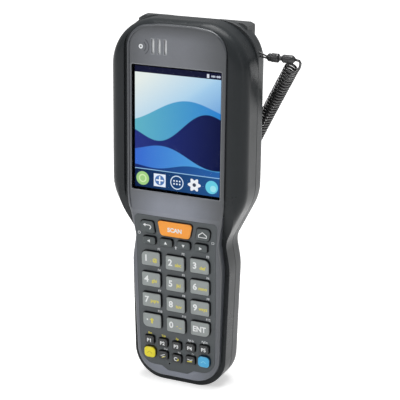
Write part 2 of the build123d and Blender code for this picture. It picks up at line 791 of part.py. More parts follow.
SCAN_CORNERS = [
    (-SCAN_BOTTOM_WIDTH / 2, SCAN_Z - SCAN_HEIGHT / 2),
    (SCAN_BOTTOM_WIDTH / 2, SCAN_Z - SCAN_HEIGHT / 2),
    (SCAN_TOP_WIDTH / 2, SCAN_Z + SCAN_HEIGHT / 2),
    (-SCAN_TOP_WIDTH / 2, SCAN_Z + SCAN_HEIGHT / 2),
]
KEYS["key_scan"] = key_face(SCAN_CORNERS, [2.6, 2.6, 1.6, 1.6])

for name, side in (("key_back", -1), ("key_home", 1)):
    inner = side * (SIDE_KEY_X - SIDE_KEY_WIDTH / 2)
    outer = side * (SIDE_KEY_X + SIDE_KEY_WIDTH / 2)
    lean = side * SIDE_KEY_LEAN
    low = SIDE_KEY_Z - SIDE_KEY_HEIGHT / 2
    high = SIDE_KEY_Z + SIDE_KEY_HEIGHT / 2
    corners = [(inner - lean, low), (outer - lean, low), (outer + lean, high), (inner + lean, high)]
    KEYS[name] = key_face(corners, [1.2, 2.2, 2.2, 1.2])

for name, x in (
    ("key_left", -ARROW_OUTER_X),
    ("key_up", -ARROW_INNER_X),
    ("key_down", ARROW_INNER_X),
    ("key_right", ARROW_OUTER_X),
):
    KEYS[name] = key_box(x, ARROW_Z, ARROW_WIDTH, ARROW_HEIGHT, [KEY_CORNER_R] * 4)

NUMBER_ROWS = [
    ("key_1", "key_2", "key_3"),
    ("key_4", "key_5", "key_6"),
    ("key_7", "key_8", "key_9"),
    ("key_shift", "key_0", "key_enter"),
]
OUTER_CORNERS = {"key_shift": 0, "key_enter": 1, "key_3": 2, "key_1": 3}
for row, names in enumerate(NUMBER_ROWS):
    for column, name in enumerate(names):
        drop = MIDDLE_DROP if column == 1 else 0
        radii = [KEY_CORNER_R] * 4
        if name in OUTER_CORNERS:
            radii[OUTER_CORNERS[name]] = KEY_OUTER_CORNER_R
        KEYS[name] = key_box(
            (column - 1) * KEY_PITCH_X, FIRST_ROW_Z - row * KEY_PITCH_Z - drop, KEY_WIDTH, KEY_HEIGHT, radii
        )

for index in range(5):
    place = index - 2
    KEYS[f"key_p{index + 1}"] = key_box(
        place * SMALL_PITCH_X,
        P_ROW_Z - P_ROW_SAG * (1 - abs(place) / 2),
        SMALL_KEY_WIDTH,
        SMALL_KEY_HEIGHT,
        [SMALL_CORNER_R] * 4,
    )

for index, name in enumerate(("key_fn_a", "key_fn_b", "key_fn_c")):
    place = index - 1
    KEYS[name] = key_box(
        place * SMALL_PITCH_X,
        BOTTOM_ROW_Z - BOTTOM_ROW_SAG * (1 - abs(place) / 2),
        SMALL_KEY_WIDTH,
        SMALL_KEY_HEIGHT,
        [SMALL_CORNER_R] * 4,
    )

for name, side in (("key_yellow", -1), ("key_blue", 1)):
    KEYS[name] = key_box(
        side * SIDE_KEY_X, BOTTOM_ROW_Z, SHIFT_KEY_WIDTH, SHIFT_KEY_HEIGHT, [SHIFT_KEY_CORNER_R] * 4
    )

UPPER_KEYS = ("key_scan", "key_back", "key_home")
PLUNGER_SPOTS = [face.face().center() for face in KEYS.values()]

for name, face in KEYS.items():
    proud = UPPER_PROUD if name in UPPER_KEYS else KEY_PROUD
    span = face.bounding_box()
    with BuildPart() as key:
        with BuildSketch(on_panel(KEY_BOTTOM_N)):
            add(face)
        extrude(amount=proud - KEY_BOTTOM_N)
        chamfer(key.faces().sort_by(PRESS)[0].edges(), KEY_TOP_BEVEL)
        with BuildSketch(on_panel(KEY_BOTTOM_N)) as flange:
            with Locations(span.center()):
                Rectangle(span.size.X + 2 * KEY_FLANGE, span.size.Y + 2 * KEY_FLANGE)
            chamfer(flange.vertices(), KEY_FLANGE_BEVEL)
        extrude(amount=KEY_FLANGE_TOP_N - KEY_BOTTOM_N)
        with BuildSketch(on_panel(KEY_BOTTOM_N)):
            with Locations(face.face().center()):
                Rectangle(PLUNGER_SIDE, PLUNGER_SIDE)
        extrude(amount=PLUNGER_BOTTOM_N - KEY_BOTTOM_N)
    finish(key.part, name)

# ---------------------------------------------------------------- keypad panel, mat and board

with BuildPart() as keypad_panel:
    add(tilted_slab(PANEL, 0, -PANEL_THICKNESS))
    with BuildSketch(on_panel(1)):
        for face in KEYS.values():
            add(grow(face, KEY_CLEARANCE))
        with Locations((MIC_X, MIC_Z)):
            Circle(MIC_R)
    extrude(amount=-2 - PANEL_THICKNESS, mode=Mode.SUBTRACT)
finish(keypad_panel.part, "keypad_panel")

SEAT_INSIDE = grow(PANEL, -PANEL_SEAT)
BOARD_INSIDE = below(grow(FASCIA, -SKIRT_WALL - BOARD_CLEARANCE), SKIRT_TOP_Z - SKIRT_WALL - BOARD_CLEARANCE)
with BuildSketch() as mat_sketch:
    add(grow(PANEL, MAT_RIM))
    add(grow(FASCIA, -SKIRT_WALL - 0.1), mode=Mode.INTERSECT)
MAT = mat_sketch.sketch

with BuildPart() as keypad_mat:
    add(tilted_slab(MAT, MAT_TOP_N, BOARD_TOP_N + 0.05))
    add(tilted_slab(SEAT_INSIDE, MAT_TOP_N - MAT_THICKNESS, BOARD_TOP_N - 1), mode=Mode.SUBTRACT)
    with BuildSketch(on_panel(MAT_TOP_N + 1)):
        with Locations(*PLUNGER_SPOTS):
            Rectangle(PLUNGER_SIDE + 0.7, PLUNGER_SIDE + 0.7)
    extrude(amount=-2 - MAT_THICKNESS, mode=Mode.SUBTRACT)
finish(keypad_mat.part, "keypad_mat")

with BuildPart() as keypad_board:
    add(tilted_slab(BOARD_INSIDE, BOARD_TOP_N, BOARD_TOP_N - BOARD_THICKNESS))
finish(keypad_board.part, "keypad_board")

# ---------------------------------------------------------------- fascia

SLOPE_END_Z = PANEL_TOP_Z + 0.6


def panel_depth(height):
    """Depth of the keypad panel's face at a height."""
    return PANEL_TOP_DEPTH + tan(TILT) * (PANEL_TOP_Z - height)


def in_front_of(depth):
    """Everything in front of the fascia's face, whose head part lies at a depth."""
    with BuildPart() as made:
        with BuildSketch(Plane.YZ.offset(-2 * HEAD_HALF)):
            with BuildLine():
                path = FilletPolyline(
                    side_point(depth, HEIGHT + 5),
                    side_point(depth, FASCIA_CREASE_Z),
                    side_point(panel_depth(SLOPE_END_Z), SLOPE_END_Z),
                    side_point(panel_depth(-5), -5),
                    radius=[CREASE_R, CREASE_R / 2],
                )
                Polyline(path @ 1, side_point(-9, -5), side_point(-9, HEIGHT + 5), path @ 0)
            make_face()
        extrude(amount=4 * HEAD_HALF)
    return made.part


with BuildPart() as fascia_blank:
    add(slab(FASCIA, FASCIA_DEPTH - 1, FASCIA_SKIRT_DEPTH))
    add(in_front_of(FASCIA_DEPTH), mode=Mode.SUBTRACT)
    back_y = FRONT_Y + FASCIA_SKIRT_DEPTH
    side_faces = fascia_blank.faces().filter_by(lambda face: abs(face.normal_at().Y) < 0.01)
    side_edges = ShapeList(edge for face in side_faces for edge in face.edges())
    rim_edges = side_edges.filter_by(Axis.Y, reverse=True).filter_by(
        lambda edge: edge.center().Y < back_y - 0.01
    )
    fillet(rim_edges, FASCIA_EDGE_R)

with BuildPart() as front_fascia:
    add(fascia_blank.part)
    # thin plate over the head, hollow skirt round the keypad
    add(slab(above(grow(FASCIA, 1), SKIRT_TOP_Z), FASCIA_BACK, FASCIA_SKIRT_DEPTH + 1), mode=Mode.SUBTRACT)
    add(
        tilted_slab(below(grow(FASCIA, -SKIRT_WALL), SKIRT_TOP_Z - SKIRT_WALL), SEAT_BOTTOM_N, -2 * FASCIA_SKIRT_DEPTH),
        mode=Mode.SUBTRACT,
    )
    # dished face inside the raised rim
    add(
        slab(above(grow(FASCIA, -FASCIA_RIM_WIDTH), SLOPE_END_Z + 1), -1, FASCIA_FACE),
        mode=Mode.SUBTRACT,
    )
    # seat and opening of the keypad panel
    add(tilted_slab(grow(PANEL, PANEL_GAP), 5, -PANEL_THICKNESS - 0.05), mode=Mode.SUBTRACT)
    add(tilted_slab(SEAT_INSIDE, 0, SEAT_BOTTOM_N - 1), mode=Mode.SUBTRACT)
    # openings of the display, the speaker and the status light
    with BuildSketch(at_depth(FASCIA_BACK + 1)):
        with Locations((0, PICTURE_Z)):
            RectangleRounded(2 * WINDOW_OPEN_HALF_WIDTH, 2 * WINDOW_OPEN_HALF_HEIGHT, WINDOW_CORNER_R)
        with Locations((SLOT_X, SLOT_Z)):
            with GridLocations(SLOT_PITCH, 1, 3, 1):
                SlotOverall(SLOT_HEIGHT, SLOT_WIDTH, rotation=90)
        with Locations((LIGHT_X, LIGHT_Z)):
            Circle(LIGHT_R + 0.05)
    extrude(amount=FASCIA_BACK + 2, mode=Mode.SUBTRACT)
finish(front_fascia.part, "front_fascia")

# ---------------------------------------------------------------- display


def picture_frame(margin, corner_r):
    """Upright rectangle round the picture, larger than it by a margin."""
    return rounded(
        2 * (PICTURE_HALF_WIDTH + margin), 2 * (PICTURE_HALF_HEIGHT + margin), corner_r, z=PICTURE_Z
    )


WINDOW_FACE = picture_frame(PICTURE_BORDER + WINDOW_SEAT, WINDOW_CORNER_R)

with BuildPart() as display_gasket:
    add(slab(WINDOW_FACE, FASCIA_BACK, WINDOW_FRONT))
    add(slab(picture_frame(PICTURE_BORDER, WINDOW_CORNER_R), FASCIA_BACK - 1, WINDOW_BACK), mode=Mode.SUBTRACT)
finish(display_gasket.part, "display_gasket")

with BuildPart() as display_window:
    add(slab(WINDOW_FACE, WINDOW_FRONT, WINDOW_BACK))
finish(display_window.part, "display_window")

with BuildPart() as lcd_panel:
    add(slab(picture_frame(PICTURE_BORDER + 0.5, 0.5), PICTURE_DEPTH, DISPLAY_BACK))
finish(lcd_panel.part, "lcd_panel")

with BuildPart() as main_board:
    board_z = (BOARD_BOTTOM_Z + BOARD_TOP_Z) / 2
    add(
        slab(
            rounded(2 * BOARD_HALF_WIDTH, BOARD_TOP_Z - BOARD_BOTTOM_Z, 3, z=board_z),
            MAIN_BOARD_DEPTH,
            MAIN_BOARD_DEPTH + BOARD_THICKNESS,
        )
    )
    add(
        slab(
            rounded(SHIELD_WIDTH, SHIELD_HEIGHT, 1, z=board_z),
            MAIN_BOARD_DEPTH + BOARD_THICKNESS,
            MAIN_BOARD_DEPTH + BOARD_THICKNESS + SHIELD_THICKNESS,
        )
    )
finish(main_board.part, "main_board")

# ---------------------------------------------------------------- status light and speaker

with BuildPart() as status_led:
    add(posts([(LIGHT_X, LIGHT_Z)], LIGHT_R, FASCIA_FACE, MAIN_BOARD_DEPTH))
finish(status_led.part, "status_led")

with BuildPart() as speaker_mesh:
    add(posts([(SLOT_X, SLOT_Z)], SPEAKER_R, FASCIA_BACK, FASCIA_BACK + MESH_THICKNESS))
finish(speaker_mesh.part, "speaker_mesh")

with BuildPart() as speaker:
    speaker_front = FASCIA_BACK + MESH_THICKNESS
    add(posts([(SLOT_X, SLOT_Z)], SPEAKER_R, speaker_front, speaker_front + SPEAKER_THICKNESS))
    add(
        posts([(SLOT_X, SLOT_Z)], SPEAKER_R - 1, speaker_front - 1, speaker_front + 0.6),
        mode=Mode.SUBTRACT,
    )
finish(speaker.part, "speaker")

# ---------------------------------------------------------------- scan window and engine

with BuildPart() as scan_window:
    add(
        block(
            -SCAN_POCKET_HALF + CLEARANCE,
            SCAN_POCKET_HALF - CLEARANCE,
            SCAN_POCKET_FRONT + CLEARANCE,
            SCAN_POCKET_BACK - CLEARANCE,
            SCAN_POCKET_FLOOR_Z,
            SCAN_POCKET_FLOOR_Z + SCAN_WINDOW_THICKNESS,
        )
    )
finish(scan_window.part, "scan_window")

with BuildPart() as scan_engine:
    engine_top = SCAN_POCKET_FLOOR_Z - WALL
    engine_front = SCAN_POCKET_FRONT + SCAN_WINDOW_LEDGE
    engine_back = SCAN_POCKET_BACK - SCAN_WINDOW_LEDGE
    add(
        block(
            -SCAN_POCKET_HALF,
            SCAN_POCKET_HALF,
            engine_front - 1,
            engine_back + 1,
            engine_top - ENGINE_HEIGHT,
            engine_top,
        )
    )
    add(
        block(
            -SCAN_POCKET_HALF + SCAN_WINDOW_LEDGE,
            SCAN_POCKET_HALF - SCAN_WINDOW_LEDGE,
            engine_front,
            engine_back,
            engine_top - 2,
            engine_top + 1,
        ),
        mode=Mode.SUBTRACT,
    )
finish(scan_engine.part, "scan_engine")

# ---------------------------------------------------------------- battery, its door and lock

LOCK_FLOOR = GRIP_BACK_DEPTH - LOCK_POCKET
LOCK_LOW_Z = LOCK_Z - LOCK_HEIGHT / 2
LOCK_HIGH_Z = LOCK_Z + LOCK_HEIGHT / 2
TONGUE_BACK = DOOR_SEAT - DOOR_LEDGE - DOOR_GAP
TONGUE_HIGH_Z = DOOR_TOP_Z - DOOR_LEDGE - 0.5
NECK_LOW_Z = LOCK_LOW_Z + 1
NECK_HIGH_Z = NECK_LOW_Z + LOCK_NECK

with BuildPart() as battery_pack:
    add(
        block(
            -DOOR_HALF_WIDTH + DOOR_LEDGE + DOOR_GAP,
            DOOR_HALF_WIDTH - DOOR_LEDGE - DOOR_GAP,
            PACK_FRONT,
            DOOR_INNER,
            DOOR_BOTTOM_Z + 2 * DOOR_LEDGE,
            PACK_TOP_Z,
        )
    )
    chamfer(battery_pack.edges().filter_by(Axis.Y), 1.5)
finish(battery_pack.part, "battery_pack")

with BuildPart() as battery_door:
    add(slab(door_outline(0), DOOR_INNER, GRIP_BACK_DEPTH))
    chamfer(battery_door.faces().sort_by(Axis.Y)[-1].edges(), 0.4)
    # pocket that the lock slides in, and the slot for its neck
    add(
        block(
            -LOCK_HALF_WIDTH - DOOR_GAP,
            LOCK_HALF_WIDTH + DOOR_GAP,
            LOCK_FLOOR,
            GRIP_BACK_DEPTH + 1,
            LOCK_LOW_Z - DOOR_GAP,
            LOCK_HIGH_Z + LOCK_TRAVEL + DOOR_GAP,
        ),
        mode=Mode.SUBTRACT,
    )
    add(
        block(
            -LOCK_NECK - DOOR_GAP,
            LOCK_NECK + DOOR_GAP,
            DOOR_INNER - 1,
            GRIP_BACK_DEPTH + 1,
            NECK_LOW_Z - DOOR_GAP,
            NECK_HIGH_Z + LOCK_TRAVEL + DOOR_GAP,
        ),
        mode=Mode.SUBTRACT,
    )
finish(battery_door.part, "battery_door")

with BuildPart() as battery_lock:
    add(
        block(
            -LOCK_HALF_WIDTH,
            LOCK_HALF_WIDTH,
            LOCK_FLOOR + 0.05,
            GRIP_BACK_DEPTH + LOCK_PROUD,
            LOCK_LOW_Z,
            LOCK_HIGH_Z,
        )
    )
    chamfer(battery_lock.faces().sort_by(Axis.Y)[-1].edges(), 0.4)
    add(block(-LOCK_NECK, LOCK_NECK, TONGUE_BACK - TONGUE_THICKNESS, LOCK_FLOOR + 0.5, NECK_LOW_Z, NECK_HIGH_Z))
    add(
        block(
            -TONGUE_HALF_WIDTH,
            TONGUE_HALF_WIDTH,
            TONGUE_BACK - TONGUE_THICKNESS,
            TONGUE_BACK,
            NECK_LOW_Z,
            TONGUE_HIGH_Z,
        )
    )
finish(battery_lock.part, "battery_lock")

# ---------------------------------------------------------------- dock contacts

with BuildPart() as dock_contacts:
    add(
        block(
            -DOCK_HALF_WIDTH + 1 + CLEARANCE,
            DOCK_HALF_WIDTH - 1 - CLEARANCE,
            DOCK_FRONT + 1 + CLEARANCE,
            DOCK_BACK - 1 - CLEARANCE,
            DOCK_RECESS,
            DOCK_RECESS + DOCK_BLOCK_HEIGHT,
        )
    )
    with BuildSketch(Plane.XY.offset(DOCK_RECESS)):
        with Locations((0, FRONT_Y + (DOCK_FRONT + DOCK_BACK) / 2)):
            with GridLocations(DOCK_PAD_PITCH, 1, DOCK_PADS, 1):
                Rectangle(DOCK_PAD_WIDTH, 2 * DOCK_PAD_WIDTH)
    extrude(amount=-DOCK_PAD_HEIGHT)
finish(dock_contacts.part, "dock_contacts")

# ---------------------------------------------------------------- hand strap and stylus

STRAP_MIDDLE = (STRAP_INNER + STRAP_OUTER) / 2
EYE_R = BAR_R + 0.05

with BuildPart() as strap_bars:
    for bar_z in (BAR_LOW_Z, BAR_TOP_Z):
        with BuildSketch(Plane.YZ.offset(-LUG_X - LUG_THICKNESS / 2)):
            with Locations(side_point(BAR_DEPTH, bar_z)):
                Circle(BAR_R)
        extrude(amount=2 * LUG_X + LUG_THICKNESS)
finish(strap_bars.part, "strap_bars")

with BuildPart() as hand_strap:
    with BuildSketch(Plane.YZ.offset(-STRAP_HALF_WIDTH)):
        with BuildLine():
            FilletPolyline(
                side_point(BAR_DEPTH, BAR_LOW_Z),
                side_point(STRAP_MIDDLE, STRAP_LOW_Z),
                side_point(STRAP_MIDDLE, STRAP_TOP_Z),
                side_point(BAR_DEPTH, BAR_TOP_Z),
                radius=STRAP_BEND_R,
            )
        trace(line_width=STRAP_THICKNESS)
        with Locations(side_point(BAR_DEPTH, BAR_LOW_Z), side_point(BAR_DEPTH, BAR_TOP_Z)):
            Circle(EYE_R + STRAP_EYE_WALL)
        with Locations(side_point(BAR_DEPTH, BAR_LOW_Z), side_point(BAR_DEPTH, BAR_TOP_Z)):
            Circle(EYE_R, mode=Mode.SUBTRACT)
    extrude(amount=2 * STRAP_HALF_WIDTH)
finish(hand_strap.part, "hand_strap")

with BuildPart() as stylus_sleeve:
    with BuildSketch(Plane.XY.offset(SLEEVE_BOTTOM_Z)):
        with Locations((STYLUS_X, FRONT_Y + STYLUS_DEPTH)):
            Circle(SLEEVE_R)
        with Locations((STYLUS_X, FRONT_Y + (STRAP_OUTER + STYLUS_DEPTH) / 2)):
            Rectangle(2 * SLEEVE_R, STYLUS_DEPTH - STRAP_OUTER)
        with Locations((STYLUS_X, FRONT_Y + STYLUS_DEPTH)):
            Circle(STYLUS_R + STYLUS_CLEARANCE, mode=Mode.SUBTRACT)
    extrude(amount=SLEEVE_TOP_Z - SLEEVE_BOTTOM_Z)
finish(stylus_sleeve.part, "stylus_sleeve")

with BuildPart() as stylus:
    with BuildSketch(Plane.XZ.offset(-FRONT_Y - STYLUS_DEPTH)):
        with BuildLine():
            Polyline(
                (STYLUS_X, STYLUS_TIP_Z),
                (STYLUS_X + STYLUS_TIP_R, STYLUS_TIP_Z),
                (STYLUS_X + STYLUS_R, STYLUS_TAPER_Z),
                (STYLUS_X + STYLUS_R, SLEEVE_TOP_Z + 0.3),
                (STYLUS_X + STYLUS_TAIL_R, SLEEVE_TOP_Z + 0.3),
                (STYLUS_X + STYLUS_TAIL_R, STYLUS_TOP_Z - 1.5),
                (STYLUS_X + COIL_WIRE_R + 0.5, STYLUS_TOP_Z),
                (STYLUS_X + COIL_WIRE_R + 0.5, COIL_END_Z),
                (STYLUS_X, COIL_END_Z),
                (STYLUS_X, STYLUS_TIP_Z),
            )
        make_face()
    revolve(axis=Axis((STYLUS_X, FRONT_Y + STYLUS_DEPTH, 0), (0, 0, 1)))
finish(stylus.part, "stylus")

# ---------------------------------------------------------------- tether


def tether_point(point):
    """(X, depth, Z) to (X, Y, Z)."""
    return (point[0], FRONT_Y + point[1], point[2])


def bend_radii(points):
    """Largest easy arc for each corner of a cord's route."""
    radii = []
    for before, corner, after in zip(points, points[1:], points[2:]):
        run_in = Vector(*corner) - Vector(*before)
        run_out = Vector(*after) - Vector(*corner)
        half_turn = radians(run_in.get_angle(run_out) / 2)
        radii.append(0.45 * min(run_in.length, run_out.length) / tan(half_turn))
    return radii


def cord(points, radius):
    """Round cord along straight runs joined by tangent arcs."""
    with BuildPart() as made:
        with BuildLine() as path:
            FilletPolyline(*points, radius=bend_radii(points))
        with BuildSketch(Plane(origin=points[0], z_dir=path.line % 0)):
            Circle(radius)
        sweep()
    return made.part


CLASP_JOIN_X = CLASP_START_X + CLASP_LENGTH
CLASP_END_X = CLASP_JOIN_X + CLASP_LENGTH
CLASP_PLANE = Plane(origin=(0, FRONT_Y + TETHER_DEPTH, TETHER_Z), x_dir=(1, 0, 0), z_dir=(0, -1, 0))
CLASP_AXIS = Axis(CLASP_PLANE.origin, (1, 0, 0))


def clasp(profile):
    """Clasp half turned about the tether's line, from its (X, radius) profile."""
    with BuildPart() as made:
        with BuildSketch(CLASP_PLANE):
            with BuildLine():
                Polyline(*profile, close=True)
            make_face()
        revolve(axis=CLASP_AXIS)
    return made.part


tether_clasp_a = clasp(
    [
        (CLASP_START_X, 0),
        (CLASP_START_X, CLASP_NECK_R),
        (CLASP_START_X + CLASP_TAPER, CLASP_R),
        (CLASP_JOIN_X - CLASP_NECK - CLASP_TAPER, CLASP_R),
        (CLASP_JOIN_X - CLASP_NECK, CLASP_NECK_R),
        (CLASP_JOIN_X, CLASP_NECK_R),
        (CLASP_JOIN_X, 0),
    ]
)
finish(tether_clasp_a, "tether_clasp_a")

tether_clasp_b = clasp(
    [
        (CLASP_JOIN_X, 0),
        (CLASP_JOIN_X, CLASP_NECK_R),
        (CLASP_JOIN_X + CLASP_NECK, CLASP_NECK_R),
        (CLASP_JOIN_X + CLASP_NECK + CLASP_TAPER, 0.92 * CLASP_R),
        (CLASP_END_X - CLASP_TAPER, 0.92 * CLASP_R),
        (CLASP_END_X, CLASP_NECK_R),
        (CLASP_END_X, 0),
    ]
)
finish(tether_clasp_b, "tether_clasp_b")

with BuildPart() as tether_loop:
    for start, end in LOOP_HOLES:
        add(rod(start, end, LOOP_R))
    split(bisect_by=Plane.YZ.offset(CLASP_START_X), keep=Keep.BOTTOM)
finish(tether_loop.part, "tether_loop")

coil_points = [tether_point(point) for point in COIL_ROUTE]
coil_points.append(tether_point((STYLUS_X, COIL_TAIL_DEPTH, COIL_LOW_Z)))
coil_points.append(tether_point((STYLUS_X, COIL_TAIL_DEPTH, COIL_END_Z)))

# the lead meets the coil's upper end beside its axis, where the winding starts
coil_start = Vector(*coil_points[0])
coil_axis = (Vector(*coil_points[1]) - coil_start).normalized()
outwards = (Vector(1, 0, 0) - coil_axis * coil_axis.X).normalized()
lead_end = coil_start + outwards * (COIL_R - LEAD_R)
lead_points = [
    (CLASP_END_X, FRONT_Y + TETHER_DEPTH, TETHER_Z),
    (CLASP_END_X + LEAD_REACH, FRONT_Y + TETHER_DEPTH, TETHER_Z),
    tuple(lead_end - coil_axis * LEAD_DROP),
    tuple(lead_end),
]
finish(cord(lead_points, LEAD_R), "tether_lead")
finish(cord(coil_points, COIL_R), "tether_coil")
print("lead radii", [round(radius, 1) for radius in bend_radii(lead_points)])
print("coil radii", [round(radius, 1) for radius in bend_radii(coil_points)])
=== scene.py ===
import math
from functools import partial

import bmesh
import bpy
from mathutils import Matrix, Vector


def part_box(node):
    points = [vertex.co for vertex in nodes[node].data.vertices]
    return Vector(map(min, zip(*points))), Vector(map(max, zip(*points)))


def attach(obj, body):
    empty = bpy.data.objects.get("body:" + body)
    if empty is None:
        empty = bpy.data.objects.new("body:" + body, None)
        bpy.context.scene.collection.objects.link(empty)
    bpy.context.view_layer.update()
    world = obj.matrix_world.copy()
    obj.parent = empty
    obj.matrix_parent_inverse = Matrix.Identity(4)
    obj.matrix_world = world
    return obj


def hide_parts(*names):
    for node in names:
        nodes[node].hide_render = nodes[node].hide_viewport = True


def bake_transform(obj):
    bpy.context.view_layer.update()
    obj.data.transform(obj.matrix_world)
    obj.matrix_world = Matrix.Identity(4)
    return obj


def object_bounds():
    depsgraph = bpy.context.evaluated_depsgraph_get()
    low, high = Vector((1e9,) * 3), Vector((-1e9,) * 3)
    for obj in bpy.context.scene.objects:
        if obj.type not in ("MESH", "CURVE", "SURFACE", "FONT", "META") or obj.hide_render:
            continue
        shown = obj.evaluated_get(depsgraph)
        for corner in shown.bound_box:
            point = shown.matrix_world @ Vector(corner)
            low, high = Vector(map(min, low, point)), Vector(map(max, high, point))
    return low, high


# Looks of the portable data terminal. Metres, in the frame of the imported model:
# +Z runs up its length, +X is its right side as the user sees it, and the display faces -Y.

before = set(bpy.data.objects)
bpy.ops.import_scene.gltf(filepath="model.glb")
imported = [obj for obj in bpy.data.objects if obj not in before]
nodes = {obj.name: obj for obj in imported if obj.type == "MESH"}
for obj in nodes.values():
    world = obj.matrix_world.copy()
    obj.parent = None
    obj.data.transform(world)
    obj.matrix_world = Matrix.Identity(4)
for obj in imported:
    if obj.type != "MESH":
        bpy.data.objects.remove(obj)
cad_low, cad_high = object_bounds()

MM = 0.001

# ---------- named sizes

KEYPAD_TILT = math.radians(3.0)
INK = 0.06 * MM

PICTURE_HALF_WIDTH = 26.82 * MM
PICTURE_HALF_HEIGHT = 35.76 * MM
PICTURE_Z = 158.0 * MM

CORD_R = 0.75 * MM
COIL_R = 4.5 * MM
COIL_PITCH = 2.3 * MM
COIL_STEPS = 14
COIL_TAIL = 5.5 * MM

FRONT_Y = cad_low.y


def place(x, depth, z):
    """Point from X, depth behind the foremost surface and height, all in millimetres."""
    return Vector((x * MM, FRONT_Y + depth * MM, z * MM))


def linked(name, data):
    """New object in the scene."""
    made = bpy.data.objects.new(name, data)
    bpy.context.scene.collection.objects.link(made)
    return made


# ---------- camera

CAMERA_YAW = 0.418297
CAMERA_RISE = 0.296268
CAMERA_ROLL = 0.012734
CAMERA_SHIFT = (-0.0130432, 0.0391596, 0.761834)
CAMERA_AIM = Vector((0, -0.02468, 0.158))
CAMERA_LENS = 120.346

back = Vector(
    (
        math.sin(CAMERA_YAW) * math.cos(CAMERA_RISE),
        -math.cos(CAMERA_YAW) * math.cos(CAMERA_RISE),
        math.sin(CAMERA_RISE),
    )
)
level = Vector((math.cos(CAMERA_YAW), math.sin(CAMERA_YAW), 0))
upward = back.cross(level)
right = math.cos(CAMERA_ROLL) * level + math.sin(CAMERA_ROLL) * upward
top = math.cos(CAMERA_ROLL) * upward - math.sin(CAMERA_ROLL) * level
eye = CAMERA_AIM - CAMERA_SHIFT[0] * right - CAMERA_SHIFT[1] * top + CAMERA_SHIFT[2] * back

camera_data = bpy.data.cameras.new("camera")
camera_data.lens = CAMERA_LENS
camera_data.sensor_width = 36
camera_data.clip_start = 0.05
camera_data.clip_end = 50
camera = linked("camera", camera_data)
turn = Matrix((right, top, back)).transposed().to_4x4()
camera.matrix_world = Matrix.Translation(eye) @ turn
bpy.context.scene.camera = camera
bpy.context.scene.view_settings.view_transform = "Standard"

# ---------- shader helpers


def tone(red, green, blue):
    """Colour from the values that a screen shows, 0 to 255."""
    linear = []
    for value in (red, green, blue):
        share = value / 255
        linear.append(share / 12.92 if share <= 0.04045 else ((share + 0.055) / 1.055) ** 2.4)
    return (*linear, 1.0)


def feed(made, inputs):
    """Gives named or numbered inputs of a node a plain value or a socket each."""
    for name, value in inputs.items():
        if isinstance(value, bpy.types.NodeSocket):
            made.id_data.links.new(value, made.inputs[name])
        else:
            made.inputs[name].default_value = value


def node(tree, kind, inputs, **properties):
    """New shader node with its properties and inputs set."""
    made = tree.nodes.new(kind)
    for name, value in properties.items():
        setattr(made, name, value)
    feed(made, inputs)
    return made


def numbered(*values):
    """Inputs by number, without those that are left out."""
    return {index: value for index, value in enumerate(values) if value is not None}


def calc(tree, operation, first, second=None):
    """Maths on sockets or plain numbers, as a socket."""
    return node(tree, "ShaderNodeMath", numbered(first, second), operation=operation).outputs[0]


def vectors(tree, operation, first, second=None):
    """Vector maths on sockets or plain vectors, as the node's outputs."""
    return node(tree, "ShaderNodeVectorMath", numbered(first, second), operation=operation).outputs


def blend_colours(tree, factor, low, high):
    """Mix of two colours or colour sockets by a factor socket."""
    return node(tree, "ShaderNodeMix", {0: factor, 6: low, 7: high}, data_type="RGBA").outputs[2]


def ramp(tree, value, low, high, smooth=False, ends=(0.0, 1.0)):
    """Runs from one end to the other while a socket runs from low to high, and is held there."""
    limits = {"Value": value, "From Min": low, "From Max": high, "To Min": ends[0], "To Max": ends[1]}
    shape = "SMOOTHSTEP" if smooth else "LINEAR"
    return node(tree, "ShaderNodeMapRange", limits, interpolation_type=shape).outputs["Result"]


def where(tree, map_name="Object"):
    """Place on the piece, as a socket."""
    return node(tree, "ShaderNodeTexCoord", {}).outputs[map_name]


def axes(tree, map_name="Object"):
    """X, Y and Z of the place on the piece, as sockets."""
    return node(tree, "ShaderNodeSeparateXYZ", {0: where(tree, map_name)}).outputs


def noise(tree, scale, detail=2.0, roughness=0.5):
    """Cloudy noise over the piece, from 0 to 1."""
    inputs = {"Vector": where(tree), "Scale": scale, "Detail": detail, "Roughness": roughness}
    return node(tree, "ShaderNodeTexNoise", inputs).outputs["Fac"]


def bump(tree, height, strength, distance):
    """Normal of a surface that rises with a socket, over a distance in metres."""
    inputs = {"Height": height, "Strength": strength, "Distance": distance}
    return node(tree, "ShaderNodeBump", inputs).outputs["Normal"]


def new_group(name, **inputs):
    """Group that makes a colour, a roughness and a normal, as (group, its input sockets, its output node)."""
    group = bpy.data.node_groups.new(name, "ShaderNodeTree")
    for label, value in inputs.items():
        kind = "NodeSocketColor" if isinstance(value, tuple) else "NodeSocketFloat"
        group.interface.new_socket(label, in_out="INPUT", socket_type=kind).default_value = value
    for label, kind in (("Colour", "Color"), ("Roughness", "Float"), ("Normal", "Vector")):
        group.interface.new_socket(label, in_out="OUTPUT", socket_type=f"NodeSocket{kind}")
    return group, group.nodes.new("NodeGroupInput").outputs, group.nodes.new("NodeGroupOutput")


def new_material(name):
    """Empty material, as (material, its tree, its principled shader)."""
    made = bpy.data.materials.new(name)
    made.use_nodes = True
    return made, made.node_tree, made.node_tree.nodes["Principled BSDF"]


def grouped(name, group, inputs, more):
    """Material finished by a group. An input may be a function that makes it from the tree."""
    made, tree, shader = new_material(name)
    inputs = {label: value(tree) if callable(value) else value for label, value in inputs.items()}
    finish = node(tree, "ShaderNodeGroup", inputs, node_tree=group).outputs
    more = {"Base Color": finish["Colour"], "Roughness": finish["Roughness"], **more}
    feed(shader, {"Normal": finish["Normal"], **more})
    return made


